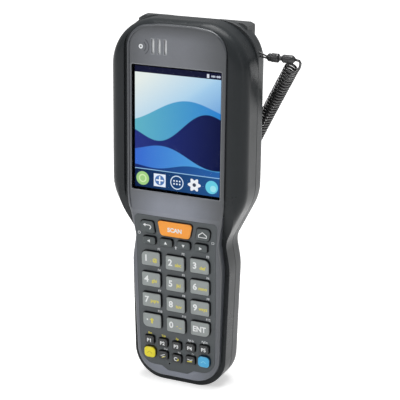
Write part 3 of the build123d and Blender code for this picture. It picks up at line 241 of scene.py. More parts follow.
# Fine moulded texture with faint smudges. Coarse is the grain's size in cells per metre.
GRAIN_HEIGHT = 0.06 * MM
SMUDGE_SCALE = 38.0
SMUDGE_SHARE = 0.28
grain, grain_in, grain_out = new_group(
    "moulded_grain", Coarse=2600.0, Depth=0.25, Roughness=0.5, Colour=(0.5, 0.5, 0.5, 1), Variation=0.06
)
cells = noise(grain, grain_in["Coarse"], roughness=0.6)
smudges = calc(grain, "SUBTRACT", noise(grain, SMUDGE_SCALE, 4.0, 0.55), 0.5)
specks = calc(grain, "ADD", calc(grain, "SUBTRACT", cells, 0.5), smudges)
paler = calc(grain, "ADD", calc(grain, "MULTIPLY", specks, grain_in["Variation"]), 1.0)
shaded = node(grain, "ShaderNodeVectorMath", {0: grain_in["Colour"], "Scale": paler}, operation="SCALE")
worn = calc(grain, "ADD", grain_in["Roughness"], calc(grain, "MULTIPLY", smudges, SMUDGE_SHARE))
grained = bump(grain, cells, grain_in["Depth"], GRAIN_HEIGHT)
feed(grain_out, {"Colour": shaded.outputs[0], "Roughness": worn, "Normal": grained})


def moulded(
    name, colour, roughness, depth=0.25, coarse=2600.0, variation=0.5, coat=0.0, metallic=0.0, shine=0.5
):
    """Moulded or painted plastic, from the grain group."""
    inputs = {"Coarse": coarse, "Depth": depth, "Roughness": roughness}
    inputs |= {"Variation": variation, "Colour": colour}
    more = {"Coat Weight": coat, "Coat Roughness": 0.25, "Metallic": metallic, "Specular IOR Level": shine}
    return grouped(name, grain, inputs, more)


def dress(material, *names):
    """Gives CAD nodes a material."""
    for name in names:
        mesh = nodes[name].data
        mesh.materials.clear()
        mesh.materials.append(material)


# ---------- keypad face

PANEL_TOP_DEPTH = 1.6
PANEL_TOP_Z = 106.0
PANEL_FOOT = place(0, PANEL_TOP_DEPTH + math.tan(KEYPAD_TILT) * PANEL_TOP_Z, 0)
FACE_UP = Vector((0, -math.sin(KEYPAD_TILT), math.cos(KEYPAD_TILT)))
FACE_OUT = Vector((0, -math.cos(KEYPAD_TILT), -math.sin(KEYPAD_TILT)))
KEY_RISE = 2.0
UPPER_RISE = 1.4
CAP_EDGE_LOW = 0.5
CAP_EDGE_HIGH = 0.38


def face_point(x, up, rise):
    """Point over the keypad panel: X, distance up its face and height proud of it, in millimetres."""
    return PANEL_FOOT + Vector((x * MM, 0, 0)) + FACE_UP * up * MM + FACE_OUT * rise * MM


def capped(top_colour, side_colour, rise):
    """Colour of a key whose cap is paler than its sides, for a cap that stands so many millimetres proud. The
    darker sides are partly the key's own dark base and partly painted shade on its walls.
    """

    def colour(tree):
        away = vectors(tree, "SUBTRACT", where(tree), PANEL_FOOT)[0]
        proud = vectors(tree, "DOT_PRODUCT", away, FACE_OUT)["Value"]
        edge = ramp(tree, proud, (rise - CAP_EDGE_LOW) * MM, (rise - CAP_EDGE_HIGH) * MM)
        return blend_colours(tree, edge, side_colour, top_colour)

    return colour


# Painted reflection and shade on the fascia: the middle and width of the painted reflection, and the heights
# over which the reflection below the display and the shade at the top edge fade.
REFLECTION_MIDDLE_X = -2.0 * MM
REFLECTION_HALF_WIDTH = 36.0 * MM
REFLECTION_FLAT = 4.0 * MM
LOW_REFLECTION_Z = (126.0 * MM, 112.0 * MM)
TOP_SHADE_Z = (209.0 * MM, 219.0 * MM)


def tones_with_painted_reflection(shaded_edge_colour, reflecting_colour, brightest_reflection_colour):
    """Colour of the fascia with painted light: a painted reflection, paler along its middle than at its sides
    and palest below the display, and painted shade towards its top edge.
    """

    def colour(tree):
        x, _, z = axes(tree)
        off_middle = calc(tree, "ABSOLUTE", calc(tree, "ADD", x, -REFLECTION_MIDDLE_X))
        inwards = ramp(tree, off_middle, REFLECTION_HALF_WIDTH, REFLECTION_FLAT, smooth=True)
        # Painted shade towards the fascia's top edge.
        crest = ramp(tree, z, *TOP_SHADE_Z, smooth=True)
        upper = blend_colours(tree, crest, reflecting_colour, shaded_edge_colour)
        middle = blend_colours(tree, ramp(tree, z, *LOW_REFLECTION_Z, smooth=True), upper, brightest_reflection_colour)
        return blend_colours(tree, inwards, shaded_edge_colour, middle)

    return colour


NIB_TOP_Z = 17.0 * MM


def with_nib(tree):
    """Colour of the stylus: black, with a pale nib below a height."""
    nib = calc(tree, "LESS_THAN", axes(tree)["Z"], NIB_TOP_Z)
    return blend_colours(tree, nib, tone(34, 36, 38), tone(196, 198, 200))


# ---------- plain finishes

# Fascia grey with painted light: a painted reflection along its middle and below the display, and painted
# shade at its sides and top edge.
fascia_reflection_tones = tones_with_painted_reflection(tone(66, 69, 73), tone(112, 115, 122), tone(132, 137, 149))
cord_rubber = moulded("cord_rubber", tone(12, 12, 13), 0.15, depth=0.05, shine=0.9)
clasp_plastic = moulded("clasp_plastic", tone(44, 45, 46), 0.34, depth=0.15)
steel = moulded("brushed_steel", tone(150, 152, 154), 0.32, depth=0.15, coarse=6000.0, metallic=0.9)
dress(moulded("fascia_paint_with_reflection", fascia_reflection_tones, 0.36, depth=0.12, coarse=5200.0, coat=0.3), "front_fascia")
dress(moulded("bumper_rubber", tone(45, 48, 50), 0.3, depth=0.2, coarse=4200.0, shine=0.14), "front_housing")
back_plastic = moulded("back_plastic", tone(48, 51, 53), 0.48, depth=0.5, coarse=3200.0)
dress(back_plastic, "rear_housing", "battery_door")
dress(moulded("pad_rubber", tone(66, 68, 69), 0.62, depth=0.5, coarse=3000.0), "top_pads")
dress(moulded("panel_plastic", tone(66, 72, 75), 0.42, depth=0.2, coarse=5200.0, coat=0.1), "keypad_panel")
dress(moulded("seal_rubber", tone(20, 21, 22), 0.7, depth=0.3), "housing_seal", "display_gasket")
dress(moulded("board_lacquer", tone(24, 66, 46), 0.35, depth=0.2), "keypad_board", "main_board")
dress(moulded("mat_rubber", tone(40, 42, 44), 0.7, depth=0.3), "keypad_mat")
dress(moulded("speaker_metal", tone(70, 72, 74), 0.4, metallic=0.6), "speaker", "scan_engine")
dress(moulded("stylus_plastic", with_nib, 0.3, depth=0.1, coat=0.2), "stylus")
dress(moulded("pack_plastic", tone(44, 46, 48), 0.45), "battery_pack")
dress(moulded("lock_plastic", tone(96, 99, 101), 0.4), "battery_lock")
dress(steel, "strap_bars")
dress(cord_rubber, "tether_loop")

# Near-black key walls: partly the keys' dark base, partly painted shade.
KEY_SIDE = tone(22, 24, 27)
SLATE = tone(70, 77, 78)


def key_plastic(name, caps, top_colour, side_colour, rise, roughness, depth=0.12, variation=0.5, coat=0.0):
    """Finishes keys alike, from their caps' colour and their sides'."""
    colour = capped(top_colour, side_colour, rise)
    material = moulded(name, colour, roughness, depth, 5000.0, variation, coat)
    dress(material, *[f"key_{cap}" for cap in caps])


pale_caps = [*"1234567890", "shift", "enter"]
key_plastic("pale_key", pale_caps, tone(150, 156, 155), KEY_SIDE, KEY_RISE, 0.42, variation=0.2)
key_plastic("slate_key", ["left", "up", "down", "right"], SLATE, KEY_SIDE, KEY_RISE, 0.42)
key_plastic("slate_upper", ["back", "home"], SLATE, KEY_SIDE, UPPER_RISE, 0.42)
# The dark keys' walls are a darker copy of their caps: painted shade.
dark_caps = ["p1", "p2", "p3", "p4", "p5", "fn_a", "fn_b", "fn_c"]
key_plastic("dark_key", dark_caps, tone(44, 46, 48), tone(18, 19, 20), KEY_RISE, 0.4)
# The coloured keys' walls are darker copies of their caps' colours: painted shade.
for cap, top_colour, side_colour, material_name, rise in (
    ("scan", tone(255, 160, 38), tone(58, 30, 24), "orange_key", UPPER_RISE),
    ("yellow", tone(242, 226, 22), tone(92, 84, 18), "yellow_key", KEY_RISE),
    ("blue", tone(72, 178, 228), tone(24, 62, 88), "blue_key", KEY_RISE),
):
    key_plastic(material_name, [cap], top_colour, side_colour, rise, 0.35, 0.1, 0.2, 0.2)


def ink(name, colour, roughness=0.5):
    """Printed ink."""
    return moulded(name, colour, roughness, depth=0.05, variation=0.1)


white_print = ink("white_print", tone(236, 238, 238))
grey_print = ink("grey_print", tone(210, 213, 216))
yellow_print = ink("yellow_print", tone(226, 214, 74))
shade_print = ink("shade_print", tone(52, 54, 58))

# ---------- status light, contacts, speaker mesh, glass

LIGHT_SPOT = (-22.0, 205.4)
LIGHT_LENS_R = (0.4 * MM, 0.6 * MM)
light_white, light_tree, light_shader = new_material("light_white")
light_middle = (LIGHT_SPOT[0] * MM, 0, LIGHT_SPOT[1] * MM)
light_away = vectors(light_tree, "SUBTRACT", where(light_tree), light_middle)[0]
light_flat = vectors(light_tree, "MULTIPLY", light_away, (1, 0, 1))[0]
light_reach = vectors(light_tree, "LENGTH", light_flat)["Value"]
light_ring = ramp(light_tree, light_reach, *LIGHT_LENS_R)
light_colour = blend_colours(light_tree, light_ring, tone(70, 74, 78), tone(238, 241, 243))
light_normal = bump(light_tree, noise(light_tree, 900.0), 0.1, 0.1 * MM)
feed(light_shader, {"Base Color": light_colour, "Roughness": 0.25, "Normal": light_normal})
dress(light_white, "status_led")

# Dock contacts: gilt pads that stand proud of a black block
PAD_BASE_Z = 1.17 * MM
contact_strip, contact_tree, contact_shader = new_material("contact_strip")
gilt = calc(contact_tree, "LESS_THAN", axes(contact_tree)["Z"], PAD_BASE_Z)
scuffs = noise(contact_tree, 1400.0, 3.0)
gilt_tone = blend_colours(contact_tree, scuffs, tone(206, 166, 84), tone(240, 210, 132))
contact_colour = blend_colours(contact_tree, gilt, tone(26, 27, 28), gilt_tone)
contact_rough = calc(contact_tree, "ADD", calc(contact_tree, "MULTIPLY", scuffs, 0.25), 0.2)
feed(contact_shader, {"Base Color": contact_colour, "Metallic": gilt, "Roughness": contact_rough})
dress(contact_strip, "dock_contacts")

mesh_cloth, mesh_tree, mesh_shader = new_material("speaker_cloth")
mesh_cells = {"Vector": where(mesh_tree), "Scale": 1900.0, "Randomness": 0.15}
mesh_middles = node(mesh_tree, "ShaderNodeTexVoronoi", mesh_cells).outputs["Distance"]
mesh_hole = calc(mesh_tree, "LESS_THAN", mesh_middles, 0.26)
mesh_colour = blend_colours(mesh_tree, mesh_hole, tone(250, 252, 253), tone(196, 199, 202))
feed(mesh_shader, {"Base Color": mesh_colour, "Roughness": 0.6})
dress(mesh_cloth, "speaker_mesh")


def window(name, cad_node, smudge_scale, roughest, inputs):
    """Finishes a window that has faint smudges."""
    made, tree, shader = new_material(name)
    rough = calc(tree, "MULTIPLY", noise(tree, smudge_scale, 3.0), roughest)
    feed(shader, {"Roughness": rough, **inputs})
    dress(made, cad_node)


lens = {"Base Color": (1, 1, 1, 1), "IOR": 1.02, "Transmission Weight": 1.0}
window("clear_window", "display_window", 70.0, 0.04, lens)
window("scan_glass", "scan_window", 90.0, 0.2, {"Base Color": tone(60, 14, 16), "Specular IOR Level": 0.3})

# ---------- the lit picture

picture, picture_tree, picture_shader = new_material("lit_picture")
maths = partial(calc, picture_tree)
mixed = partial(blend_colours, picture_tree)
picture_x, picture_y, picture_z = axes(picture_tree)
across = maths("DIVIDE", picture_x, MM)
raised = maths("DIVIDE", maths("SUBTRACT", picture_z, PICTURE_Z), MM)


def both(first, second):
    """Mask of what two masks share."""
    return maths("MULTIPLY", first, second)


def soft_under(value, limit, softness=0.12):
    """Mask of where a socket lies under a limit, with a soft edge."""
    return ramp(picture_tree, value, limit + softness, limit - softness, smooth=True)


def under_curve(middle, slope, swell, waves, shift):
    """Mask of the picture below a wavy line, in millimetres from the picture's middle."""
    phase = maths("ADD", maths("MULTIPLY", across, waves), shift)
    wave = maths("MULTIPLY", maths("SINE", phase), swell)
    line = maths("ADD", wave, maths("MULTIPLY", across, slope))
    return soft_under(maths("SUBTRACT", raised, line), middle, 0.3)


def from_spot(x, z):
    """Distances across, up and in all from a spot of the picture, in millimetres."""
    aside = maths("SUBTRACT", across, x)
    over = maths("SUBTRACT", raised, z)
    squares = maths("ADD", maths("POWER", aside, 2.0), maths("POWER", over, 2.0))
    return aside, over, maths("SQRT", squares)


def disc(x, z, radius):
    """Mask of a disc."""
    return soft_under(from_spot(x, z)[2], radius)


def ring(x, z, radius, width):
    """Mask of a ring."""
    return soft_under(maths("ABSOLUTE", maths("SUBTRACT", from_spot(x, z)[2], radius)), width / 2)


def bar(x, z, half_width, half_height):
    """Mask of an upright rectangle."""
    aside, over, _ = from_spot(x, z)
    wide = soft_under(maths("ABSOLUTE", aside), half_width)
    return both(wide, soft_under(maths("ABSOLUTE", over), half_height))


def cog(x, z, radius, teeth):
    """Mask of a wheel with round teeth."""
    aside, over, reach = from_spot(x, z)
    turn = maths("ARCTAN2", over, aside)
    tooth = maths("MULTIPLY", maths("COSINE", maths("MULTIPLY", turn, teeth)), 0.17)
    return soft_under(maths("DIVIDE", reach, maths("ADD", tooth, 0.83)), radius)


def sideways(left_colour, right_colour):
    """Colour that changes from the picture's left side to its right side."""
    return mixed(ramp(picture_tree, across, -27.0, 27.0), left_colour, right_colour)


slant = maths("SUBTRACT", maths("MULTIPLY", across, 0.75), raised)
sky = mixed(ramp(picture_tree, slant, -46.0, -12.0), tone(228, 236, 232), tone(168, 208, 236))
sky = mixed(ramp(picture_tree, slant, -16.0, 20.0), sky, tone(62, 134, 206))

DOCK_LINE = -24.7
ICON_Z = -30.5
ICON_R = 4.1
STATUS_LINE = 32.2
STATUS_Z = 33.8
ICON_WHITE = tone(236, 242, 250)
layers = [
    (under_curve(12.0, 0.1, 5.5, 0.085, 1.2), sideways(tone(96, 178, 196), tone(44, 128, 206))),
    (under_curve(1.5, 0.22, 6.0, 0.12, -0.4), sideways(tone(40, 52, 128), tone(16, 22, 62))),
    (under_curve(-14.5, -0.12, 3.6, 0.11, 2.4), sideways(tone(56, 104, 206), tone(84, 170, 222))),
    (under_curve(-21.5, 0.06, 1.2, 0.16, 0.4), sideways(tone(24, 40, 104), tone(40, 96, 166))),
    (soft_under(raised, DOCK_LINE), sideways(tone(14, 32, 70), tone(36, 84, 142))),
    (bar(0, DOCK_LINE, 30.0, 0.22), tone(150, 196, 232)),
    (disc(-21.9, ICON_Z, ICON_R), tone(160, 206, 132)),
    (ring(-21.9, ICON_Z, 2.1, 0.8), tone(206, 232, 176)),
    (bar(-10.9, ICON_Z, 3.8, 3.8), tone(226, 236, 250)),
    (disc(-10.9, ICON_Z, 3.0), tone(78, 118, 176)),
    (bar(-10.9, ICON_Z, 0.42, 2.4), ICON_WHITE),
    (bar(-10.9, ICON_Z, 2.4, 0.42), ICON_WHITE),
    (ring(0.1, ICON_Z, 3.9, 0.55), tone(214, 232, 250)),
]
for column in (-1.8, 0.0, 1.8):
    for row in (-0.9, 0.9):
        layers.append((disc(0.1 + column, ICON_Z + row, 0.5), tone(226, 238, 250)))
layers += [
    (cog(11.1, ICON_Z, ICON_R, 6.0), tone(234, 238, 242)),
    (disc(11.1, ICON_Z, 1.1), tone(58, 66, 84)),
    (disc(22.0, ICON_Z, ICON_R - 0.2), tone(104, 204, 226)),
    (disc(22.9, ICON_Z - 0.8, 1.9), tone(158, 226, 236)),
    (maths("GREATER_THAN", raised, STATUS_LINE), tone(22, 24, 50)),
    (bar(18.8, STATUS_Z, 0.7, 1.1), tone(214, 220, 232)),
]
for count, wide in enumerate((0.35, 0.5, 0.15, 0.5, 0.5)):
    layers.append((ring(21.2 + count * 1.15, STATUS_Z, 0.35, wide), tone(200, 208, 224)))
for mask, colour in layers:
    sky = mixed(mask, sky, colour)

inside_x = maths("LESS_THAN", maths("ABSOLUTE", across), PICTURE_HALF_WIDTH / MM)
inside_z = maths("LESS_THAN", maths("ABSOLUTE", raised), PICTURE_HALF_HEIGHT / MM)
front_mask = maths("LESS_THAN", picture_y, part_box("lcd_panel")[0].y + 0.05 * MM)
glow = mixed(both(both(inside_x, inside_z), front_mask), (0, 0, 0, 1), sky)
feed(picture_shader, {"Emission Color": glow, "Emission Strength": 1.0, "Base Color": tone(8, 9, 12)})
feed(picture_shader, {"Roughness": 0.5, "Specular IOR Level": 0.0})
dress(picture, "lcd_panel")

# ---------- mesh helpers

ACROSS = Vector((1, 0, 0))
OUT_BACK = Vector((0, 1, 0))
UP = Vector((0, 0, 1))
WELD = 1e-7


def curve_mesh(points, radius, kind="NURBS", closed=False, fineness=12, roundness=2):
    """Mesh of a curve through a route, with a round section. With no radius it is the bare line."""
    data = bpy.data.curves.new("curve", "CURVE")
    data.dimensions = "3D"
    data.resolution_u = fineness
    spline = data.splines.new(kind)
    spline.points.add(len(points) - 1)
    for spot, point in zip(spline.points, points):
        spot.co = (*point, 1)
    spline.order_u = 3
    spline.use_endpoint_u = not closed
    spline.use_cyclic_u = closed
    data.bevel_depth = radius
    data.bevel_resolution = roundness
    data.use_fill_caps = True
    mesh = bpy.data.meshes.new_from_object(bpy.data.objects.new("curve", data))
    bpy.data.curves.remove(data)
    return mesh


def centre_points(points, fineness):
    """Points read from the smooth line of a route."""
    mesh = curve_mesh(points, 0, fineness=fineness)
    found = [vertex.co.copy() for vertex in mesh.vertices]
    bpy.data.meshes.remove(mesh)
    return found


class Run:
    """A line of points that can be read at any distance along it."""

    def __init__(self, points):
        self.points = points
        self.steps = [0.0]
        for before, after in zip(points, points[1:]):
            self.steps.append(self.steps[-1] + (after - before).length)
        self.length = self.steps[-1]

    def at(self, distance):
        """Point and direction at a distance."""
        index = max(i for i, step in enumerate(self.steps) if step <= distance + 1e-9)
        index = min(index, len(self.points) - 2)
        run = self.points[index + 1] - self.points[index]
        share = (distance - self.steps[index]) / run.length
        return self.points[index] + run * share, run.normalized()


def gathered(meshes):
    """One bmesh of several meshes, which are then gone."""
    build = bmesh.new()
    for mesh in meshes:
        build.from_mesh(mesh)
        bpy.data.meshes.remove(mesh)
    return build


def mesh_of(build, name="part"):
    """Mesh of a bmesh, which is then gone."""
    mesh = bpy.data.meshes.new(name)
    build.to_mesh(mesh)
    build.free()
    return mesh


def new_piece(name, build, material, smooth=True):
    """Piece of a finished bmesh, with its doubles merged and its faces turned outwards."""
    bmesh.ops.remove_doubles(build, verts=build.verts[:], dist=WELD)
    bmesh.ops.recalc_face_normals(build, faces=build.faces[:])
    mesh = mesh_of(build, name)
    mesh.materials.append(material)
    for polygon in mesh.polygons:
        polygon.use_smooth = smooth
    return linked(name, mesh)


def made_piece(name, build, material, body, smooth=True):
    """Turns a finished bmesh into a piece that rides on a body."""
    piece = new_piece(name, build, material, smooth)
    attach(piece, body)
    return piece


def crisp(piece, degrees):
    """Smooth shading that keeps the edges sharper than an angle."""
    build = bmesh.new()
    build.from_mesh(piece.data)
    for edge in build.edges:
        edge.smooth = len(edge.link_faces) == 2 and edge.calc_face_angle(0) < math.radians(degrees)
    build.to_mesh(piece.data)
    build.free()


def turned(profile, origin, axis, start, steps=28):
    """Bmesh turned about an axis from a profile of (distance along, radius) in millimetres."""
    build = bmesh.new()
    verts = [build.verts.new(origin + axis * along * MM + start * radius * MM) for along, radius in profile]
    edges = [build.edges.new(pair) for pair in zip(verts, verts[1:])]
    whole = {"angle": 2 * math.pi, "steps": steps, "use_merge": True}
    bmesh.ops.spin(build, geom=verts + edges, cent=origin, axis=axis, **whole)
    bmesh.ops.remove_doubles(build, verts=build.verts[:], dist=1e-6)
    return build


# ---------- screws, clasps and trim

SCREW_SPOTS = [(-36.0, 176.0), (36.0, 176.0), (-29.0, 115.5), (29.0, 115.5), (-17.0, 10.0), (17.0, 10.0)]
SCREW_BACK = 32.6
SCREW_R = 2.1
SCREW_RIM = 0.3
RECESS_INSET = 0.7
RECESS_DEPTH = 0.9
LOBES = (1.16, 1.0, 0.74, 1.0)
HEAD_THICKNESS = 1.6
SHANK_R = 1.1
SCREW_LENGTH = 18.3


def lobed_screw():
    """Screw with a bevelled rim and a six-lobed recess, its head on top and its face at the origin."""
    build = bmesh.new()
    bmesh.ops.create_circle(build, cap_ends=True, segments=24, radius=(SCREW_R - SCREW_RIM) * MM)
    top = build.faces[:][0]
    rim = list(top.edges)
    bmesh.ops.inset_region(build, faces=[top], thickness=RECESS_INSET * MM)
    for index, vert in enumerate(top.verts):
        reach = LOBES[index % len(LOBES)]
        vert.co = Vector((vert.co.x * reach, vert.co.y * reach, 0))
    well = bmesh.ops.extrude_discrete_faces(build, faces=[top])["faces"][0]
    bmesh.ops.translate(build, verts=well.verts, vec=(0, 0, -RECESS_DEPTH * MM))
    for radius, drop in (
        (SCREW_R, SCREW_RIM),
        (SCREW_R, HEAD_THICKNESS),
        (SHANK_R, HEAD_THICKNESS),
        (SHANK_R, SCREW_LENGTH),
    ):
        grown = bmesh.ops.extrude_edge_only(build, edges=rim)["geom"]
        rim = [item for item in grown if isinstance(item, bmesh.types.BMEdge)]
        for vert in {vert for edge in rim for vert in edge.verts}:
            flat = Vector((vert.co.x, vert.co.y, 0)).normalized() * radius * MM
            vert.co = Vector((flat.x, flat.y, -drop * MM))
    bmesh.ops.contextual_create(build, geom=rim)
    return mesh_of(build)


screw_meshes = [lobed_screw() for _ in SCREW_SPOTS]
for screw, (x, z) in zip(screw_meshes, SCREW_SPOTS):
    screw.transform(Matrix.Translation(place(x, SCREW_BACK, z)) @ Matrix.Rotation(-math.pi / 2, 4, "X"))
screws = made_piece("lobed_screws", gathered(screw_meshes), steel, "housing")
crisp(screws, 32)
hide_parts("housing_screws")

# Clasp halves, turned about the tether's line
CLASP_PLACE = place(0, 22.7, 201.6)


def ribs(start, pitch, crest, groove):
    """Profile of four finger ribs, as (distance along, radius)."""
    spots = []
    for rib in range(4):
        along = start + rib * pitch
        spots += [(along, crest), (along + 0.15, groove), (along + 0.5, groove), (along + 0.65, crest)]
    return spots


first_profile = [(45.9, 0.0), (45.9, 0.95), (46.3, 1.3), (47.0, 2.1), (47.5, 2.3), (48.1, 2.3), (48.3, 2.0)]
first_profile += [(48.7, 2.0), (48.9, 2.42), (49.3, 2.58), *ribs(49.7, 0.72, 2.6, 2.4)]
first_profile += [(53.0, 2.5), (53.4, 1.9), (53.7, 1.3), (54.35, 1.3), (54.35, 0.0)]
second_profile = [(54.35, 0.0), (54.35, 1.25), (55.1, 1.3), (55.4, 1.9), (55.9, 2.3)]
second_profile += [*ribs(56.4, 0.8, 2.38, 2.2), (60.6, 2.36), (61.5, 2.2), (62.2, 1.7), (62.7, 1.25)]
second_profile += [(62.8, 1.0), (62.8, 0.0)]
first_clasp, second_clasp = (
    made_piece(name, turned(profile, CLASP_PLACE, ACROSS, OUT_BACK), clasp_plastic, "housing")
    for name, profile in (("first_clasp", first_profile), ("second_clasp", second_profile))
)
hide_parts("tether_clasp_a")
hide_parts("tether_clasp_b")
crisp(first_clasp, 40)
crisp(second_clasp, 40)

# Beads round the display opening and the speaker slots, in pale paint: a painted highlight for the light
# their bevelled edges catch
FRONT_TURN = Matrix.Rotation(math.pi / 2, 4, "X")
BEAD_DEPTH = 1.02
OPENING_Z = 158.0
OPENING_HALF_WIDTH = 28.3
OPENING_HALF_HEIGHT = 37.24
OPENING_CORNER = 1.0
SLOT_SPOTS = (-14.5, -10.6, -6.7)
SLOT_Z = 206.0
SLOT_HALF_WIDTH = 1.02
SLOT_HALF_HEIGHT = 4.45
SLOT_CORNER = 0.45


def bead(middle_x, middle_z, half_width, half_height, corner, radius, flatten):
    """Thin closed bead on a rounded rectangle of the front, flattened to a share of its height."""
    spots = []
    for side, level in ((1, -1), (1, 1), (-1, 1), (-1, -1)):
        x = side * half_width
        z = middle_z + level * half_height
        along_x = [(x - side * reach * corner, z) for reach in (2, 1)]
        along_z = [(x, z - level * reach * corner) for reach in (2, 1)]
        before, after = (along_x, along_z) if side * level < 0 else (along_z, along_x)
        spots += [*before, (x, z), *after[::-1]]
    points = [((x + middle_x) * MM, z * MM, 0) for x, z in spots]
    mesh = curve_mesh(points, radius * MM, closed=True, fineness=4)
    flat = Matrix.Diagonal((1, 1, flatten, 1))
    mesh.transform(Matrix.Translation(place(0, BEAD_DEPTH, 0)) @ FRONT_TURN @ flat)
    return mesh


opening = gathered([bead(0, OPENING_Z, OPENING_HALF_WIDTH, OPENING_HALF_HEIGHT, OPENING_CORNER, 0.3, 0.5)])
# Pale grey paint on the opening's bead: a painted highlight.
opening_painted_highlight = moulded("opening_painted_highlight", tone(112, 115, 121), 0.25, depth=0.05, coarse=5200.0, coat=0.5)
made_piece("opening_highlight_bead", opening, opening_painted_highlight, "housing")
slot_form = (SLOT_Z, SLOT_HALF_WIDTH, SLOT_HALF_HEIGHT, SLOT_CORNER, 0.17, 0.6)
# Paler grey on the slot rims: a painted highlight, which also makes the slots look wider.
slot_painted_highlight = moulded("slot_painted_highlight", tone(150, 153, 158), 0.3, depth=0.05, coarse=5200.0)
slots = gathered(bead(x, *slot_form) for x in SLOT_SPOTS)
made_piece("slot_highlight_rims", slots, slot_painted_highlight, "housing")

# ---------- printed legends

CAPITALS = 0.73


def lettering(words, height, widest=None, swell=0.0):
    """Lettering about the origin, by the height of its capitals, squeezed to a greatest width."""
    data = bpy.data.curves.new("words", "FONT")
    data.body = words
    data.size = height / CAPITALS * MM
    data.offset = swell * MM
    data.extrude = INK / 2
    data.resolution_u = 3
    mesh = bpy.data.meshes.new_from_object(bpy.data.objects.new("words", data))
    bpy.data.curves.remove(data)
    low, high = (Vector([end(v.co[i] for v in mesh.vertices) for i in range(3)]) for end in (min, max))
    mesh.transform(Matrix.Translation(-(low + high) / 2))
    width = high.x - low.x
    if widest is not None and width > widest * MM:
        mesh.transform(Matrix.Diagonal((widest * MM / width, 1, 1, 1)))
    return mesh


def ink_layer(build):
    """Mesh of a flat face, made as thick as the ink and centred on its plane."""
    build.normal_update()
    bmesh.ops.solidify(build, geom=build.faces[:], thickness=INK)
    middle = sum(vert.co.z for vert in build.verts) / len(build.verts)
    bmesh.ops.translate(build, verts=build.verts[:], vec=(0, 0, -middle))
    return mesh_of(build)


def flat_form(corners):
    """Flat form through a few corners, in millimetres, about the origin."""
    build = bmesh.new()
    build.faces.new([build.verts.new((x * MM, y * MM, 0)) for x, y in corners])
    return ink_layer(build)


def dot(radius):
    """Flat disc."""
    build = bmesh.new()
    bmesh.ops.create_circle(build, cap_ends=True, segments=20, radius=radius * MM)
    return ink_layer(build)


def stroke(points, width, closed=False):
    """Flat stroke through points, in millimetres."""
    line = [(x * MM, y * MM, 0) for x, y in points]
    mesh = curve_mesh(line, width / 2 * MM, "POLY", closed, roundness=1)
    mesh.transform(Matrix.Diagonal((1, 1, INK / (width * MM), 1)))
    return mesh


def arc(radius, start, end, count=14, x=0.0, y=0.0):
    """Points of an arc, in degrees."""
    turns = [math.radians(start + (end - start) * i / (count - 1)) for i in range(count)]
    return [(x + radius * math.cos(turn), y + radius * math.sin(turn)) for turn in turns]


def arrow(tail, head, half_tail, half_head, neck):
    """Flat arrow that points up, from its tail's height to its head's."""
    shaft = [(-half_tail, tail), (half_tail, tail), (half_tail, neck)]
    return flat_form([*shaft, (half_head, neck), (0, head), (-half_head, neck), (-half_tail, neck)])


FACE_TURN = Matrix((ACROSS, FACE_UP, FACE_OUT)).transposed().to_4x4()


def print_on(name, body, colour, marks, turn=FACE_TURN):
    """One printed piece from (mesh, spot) pairs."""
    for mesh, spot in marks:
        mesh.transform(Matrix.Translation(spot) @ turn)
    made_piece(name, gathered(mesh for mesh, _ in marks), colour, body, smooth=False)


def white_on(key, x, up, *meshes, rise=KEY_RISE):
    """White print on a key, about one spot of it."""
    marks = [(mesh, face_point(x, up, rise)) for mesh in meshes]
    print_on(f"white_{key}", f"key_{key}", white_print, marks)


def yellow_on(key, x, up, mesh):
    """Yellow print on a key."""
    print_on(f"yellow_{key}", f"key_{key}", yellow_print, [(mesh, face_point(x, up, KEY_RISE))])


panel_marks = []
warm_marks = []


def on_panel(mesh, x, up, marks=panel_marks):
    """Keeps a mark for one of the prints on the keypad panel."""
    marks.append((mesh, face_point(x, up, 0)))


KEY_PITCH_X = 15.75
KEY_PITCH_Z = 13.35
FIRST_ROW_Z = 79.4
MIDDLE_DROP = 0.64
ROWS = (("1", "2", "3"), ("4", "5", "6"), ("7", "8", "9"), ("shift", "0", "enter"))
LETTERS = dict(zip("1234567890", (". @", "abc", "def", "ghi", "jkl", "mno", "pqrs", "tuv", "wxyz", "- _")))
for row, keys in enumerate(ROWS):
    for column, key in enumerate(keys):
        x = (column - 1) * KEY_PITCH_X
        up = FIRST_ROW_Z - row * KEY_PITCH_Z - (MIDDLE_DROP if column == 1 else 0)
        on_panel(lettering(f"F{row * 3 + column + 1}", 1.4, swell=0.07), x + 4.7, up + 6.1)
        if key == "shift":
            white_on(key, x - 3.0, up + 0.5, dot(0.55))
            yellow_on(key, x + 0.1, up + 0.1, arrow(-1.8, 1.9, 0.55, 1.5, 0.3))
        elif key == "enter":
            white_on(key, x - 0.2, up, lettering("ENT", 3.6, widest=8.4, swell=0.16))
        else:
            white_on(key, x - 2.9, up + 0.35, lettering(key, 4.0, swell=0.18))
            yellow_on(key, x + 2.2, up - 0.7, lettering(LETTERS[key], 2.2, widest=5.6, swell=0.08))

